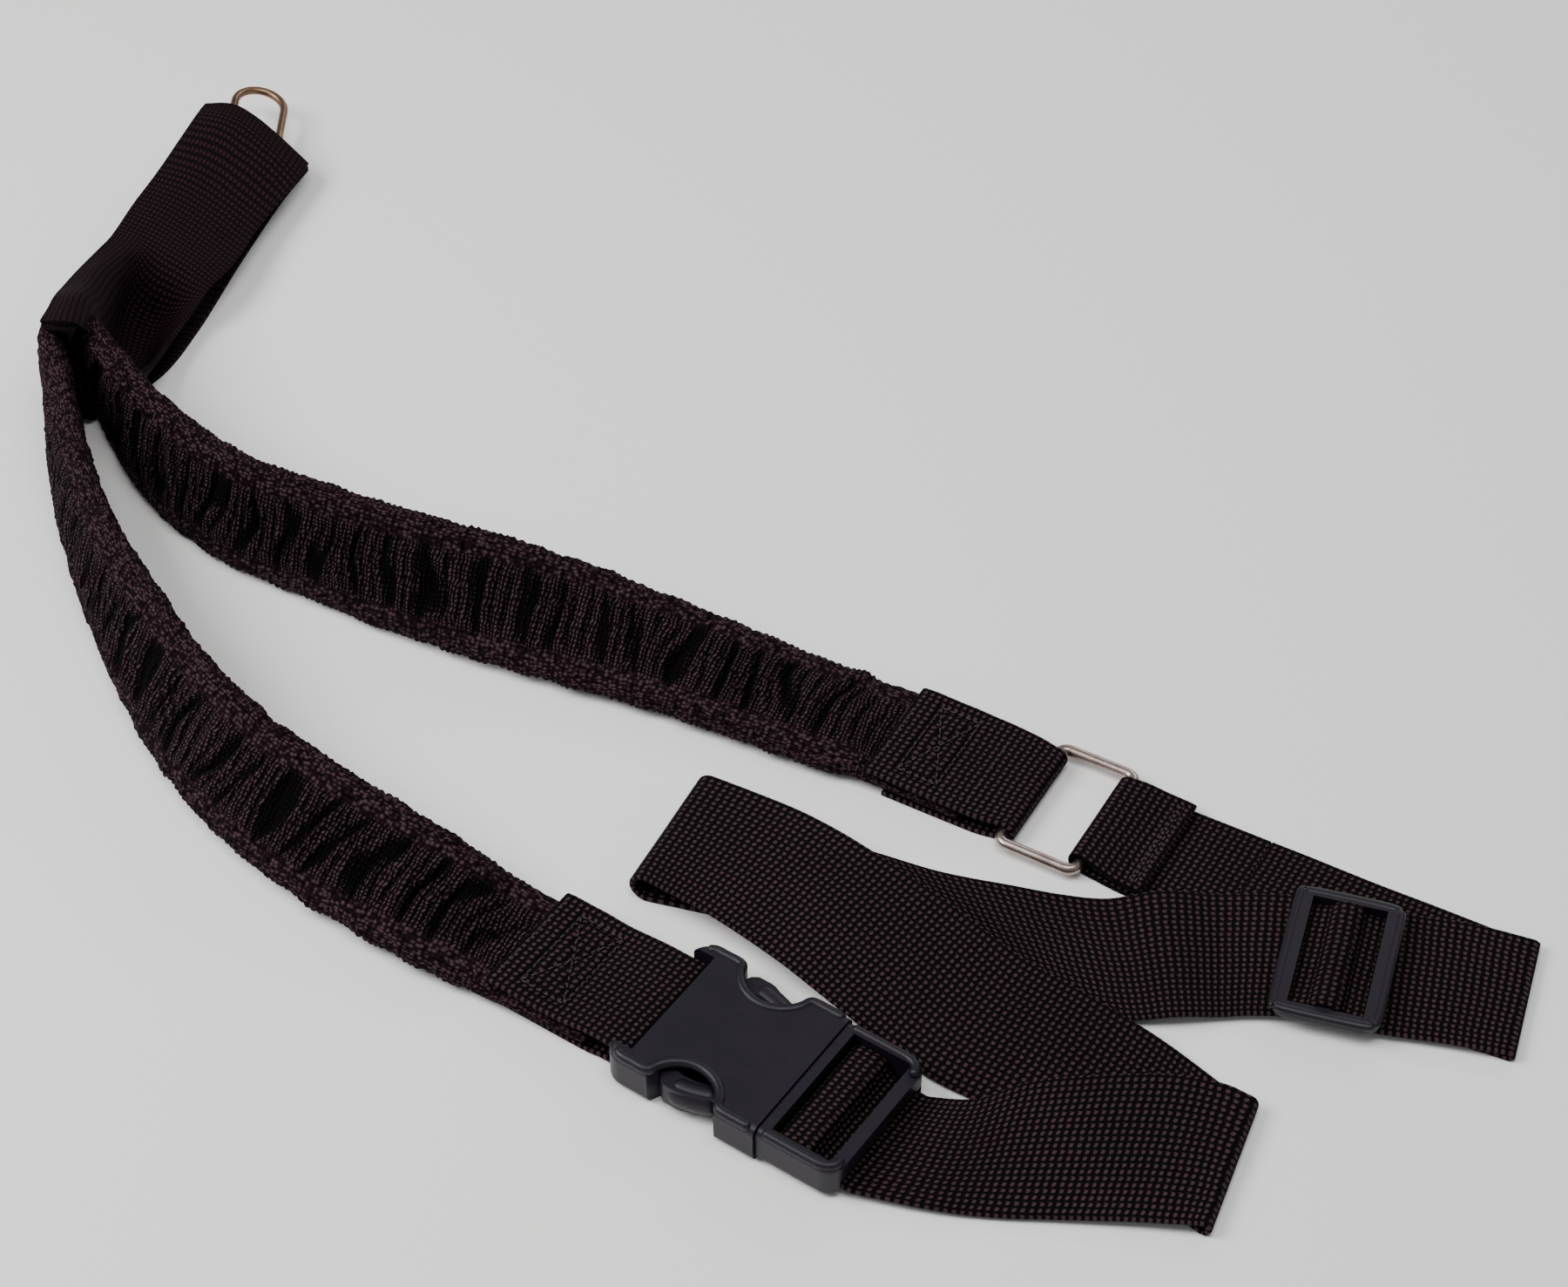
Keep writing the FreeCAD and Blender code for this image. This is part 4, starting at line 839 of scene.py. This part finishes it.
SHARES = (0.0, 0.28, 0.5, 0.72, 1.0)
upper_stations = [
    [(-187, 213.6, 21.5), (-177.5, 212, 22.5), (-169.5, 208.5, 20), (-161.5, 203.5, 15.5), (-151.5, 197.5, 8)],
    [(-189, 206.5, 22.5), (-179.5, 203.5, 23), (-171.5, 200, 20.5), (-163.5, 195.5, 16), (-153.5, 189, 8.5)],
    [(-196.9, 172.8, 26), (-187.5, 170.5, 24.5), (-180, 168, 21), (-172, 165, 16.5), (-163.8, 162.3, 10)],
    [(-203, 150, 28.5), (-194, 148, 26), (-186.5, 146, 22), (-178.5, 143.5, 17.5), (-170, 141, 11.5)],
    [(-207.3, 131.9, 30.5), (-199, 130, 27.5), (-192, 128.5, 22.5), (-184.5, 126.5, 18), (-177.1, 124.7, 13)],
    [(-210.5, 121, 32.5), (-203, 120, 29), (-203.5, 119, 12), (-193, 118, 5), (-182.5, 115, 10.5)],
    [(-214.5, 107, 35.5), (-206, 107, 33.5), (-206.0, 106, 8), (-196, 104, 2), (-187.5, 101, 10.5)],
    [(-217, 95, 39), (-207.5, 95, 37), (-207.0, 94, 12), (-198.5, 92, 2.5), (-190.5, 88, 13)],
    [(-218.0, 84, 43.2), (-208.5, 83.5, 43.2), (-204.3, 85.5, 20), (-199.2, 84, 5), (-193.2, 79.5, 16)],
    [(-219.0, 77, 44.2), (-208.7, 75.5, 44.3), (-204.6, 85.2, 18), (-199.2, 83.5, 4), (-193.6, 79.6, 14)],
    [(-220.6, 71.4, 43.9), (-208.8, 69.4, 44.0), (-205.0, 84.8, 16), (-199.2, 83, 3), (-194, 79.8, 12)]]
tether_top, tether_top_long = tether_cloth("tether_top_ply", upper_stations, SHARES, 44, 150, 41.0)
dress(tether_top, tether_weave, "tether", ("tether_upper",))

# the bunched strip over the sleeve's rim, down between the arms, and the lower ply back to the mouth
lower_stations = [
    [(-220.4, 71.4, 43.3), (-216.3, 71.2, 43.6), (-213.8, 70.8, 43.6), (-211.3, 70.4, 43.6), (-208.8, 69.9, 43.4)],
    [(-219.0, 70.6, 42.0), (-215.6, 70.4, 42.3), (-213.5, 70.2, 42.3), (-211.2, 69.8, 42.3), (-209.4, 69.4, 42.2)],
    [(-214.6, 73.5, 39), (-213.7, 72.6, 39), (-212.8, 71.7, 39), (-211.9, 70.8, 39), (-211.0, 69.9, 39)],
    [(-213.3, 75.0, 34), (-212.8, 74.0, 34), (-212.3, 73.0, 34), (-211.9, 72.1, 34), (-211.4, 71.2, 34)],
    [(-213.3, 75.0, 20), (-212.8, 74.0, 20), (-212.3, 73.0, 20), (-211.9, 72.1, 20), (-211.4, 71.2, 20)],
    [(-213.3, 75.0, 5), (-212.8, 74.0, 5), (-212.3, 73.0, 5), (-211.9, 72.1, 5), (-211.4, 71.2, 5)],
    [(-216, 76, 1.2), (-213.5, 76.5, 1.2), (-211, 77, 1.2), (-208.5, 77.5, 1.2), (-206, 78, 1.2)],
    [(-221.5, 98, 0.9), (-214, 97.5, 0.9), (-206, 97, 0.9), (-198, 96.5, 0.9), (-190.5, 96, 0.9)],
    [(-217.5, 128, 0.9), (-209, 126, 0.9), (-199.5, 123.5, 0.9), (-190.5, 121.5, 0.9), (-181, 119, 0.9)],
    [(-208.5, 166, 1.4), (-199, 163, 1.1), (-190, 160, 0.9), (-180.5, 156.5, 0.9), (-171, 153, 0.9)],
    [(-198, 196, 6), (-189, 195, 4.5), (-180.5, 192, 2.6), (-171, 188.5, 1.4), (-161, 184, 1.0)],
    [(-189, 217.5, 10.5), (-180, 219.5, 7), (-171, 217, 4), (-162, 212.5, 2.2), (-152.5, 204, 1.4)]]
tether_low, tether_low_long = tether_cloth("tether_lower_ply", lower_stations, SHARES, 36, 240, 41.0)
dress(tether_low, tether_weave, "tether", ("tether_lower", "tether_crease"))

# small strap round the wire link's bar
link_turn = (Matrix.Rotation(math.radians(-1), 4, "Z") @ Matrix.Rotation(math.radians(15), 4, "Y")
             @ Matrix.Rotation(math.radians(90), 4, "Z"))
link_base = Vector((-171.0, 206.5, 11.6))
LINK_BEND = 2.3
link_path = [(-14, -1.2), (-6, -1.5)]
for degrees in range(-100, 101, 20):
    angle = math.radians(degrees)
    link_path.append((LINK_BEND * math.cos(angle), LINK_BEND * math.sin(angle)))
link_path += [(-6, 0.8), (-14, 0.2)]
link_rows = []
for x, z in link_path:
    far = link_base + (link_turn @ Vector((x, 6.0, z)))
    near = link_base + (link_turn @ Vector((x, -6.0, z)))
    link_rows.append((*far, *near))
link_strap, link_long = strap("tether_link_strap", [(link_rows, 60)], 12.0, step=0.8, columns=12, ripple=0.0,
                              thick=1.2)
dress(link_strap, tether_weave, "tether", ("tether_strap",))

# ---------------------------------------------------------------- table, light and camera
floor_bm = bmesh.new()
bmesh.ops.create_grid(floor_bm, x_segments=1, y_segments=1, size=3.0)
floor = piece_of("table", floor_bm)
# uncoated paper: flat white with no gloss to speak of
paper, _ = material("matte_white_paper", Base_Color=linear("f4f2f0"), Roughness=0.9)
floor.data.materials.append(paper)


def lamp(name, place, target, size, power):
    light = bpy.data.lights.new(name, "AREA")
    light.shape = "RECTANGLE"
    light.size, light.size_y = size
    light.energy = power
    lit = bpy.data.objects.new(name, light)
    lit.location = place
    lit.rotation_euler = (Vector(target) - Vector(place)).to_track_quat("-Z", "Y").to_euler()
    bpy.context.scene.collection.objects.link(lit)


lamp("left_softbox", (-0.95, -0.15, 1.0), (0, 0, 0), (0.7, 0.7), 17)
lamp("overhead_softbox", (0.1, -0.35, 1.5), (0, 0, 0), (0.9, 0.6), 12)
lamp("back_strip", (0.55, 1.0, 0.7), (0, 0, 0), (0.9, 0.25), 3)
world = bpy.data.worlds.new("studio")
bpy.context.scene.world = world
world.use_nodes = True
world.node_tree.nodes["Background"].inputs[0].default_value = linear("f2f2f4")
world.node_tree.nodes["Background"].inputs[1].default_value = 0.36

camera = bpy.data.cameras.new("camera")
camera.lens = 84.0
camera.sensor_width = 36.0
camera.clip_start = 0.01
view_point = bpy.data.objects.new("camera", camera)
view_point.location = spot(13.0, -808.8, 790.0)
view_point.rotation_euler = (math.radians(44.7), 0, 0)
bpy.context.scene.collection.objects.link(view_point)
bpy.context.scene.camera = view_point
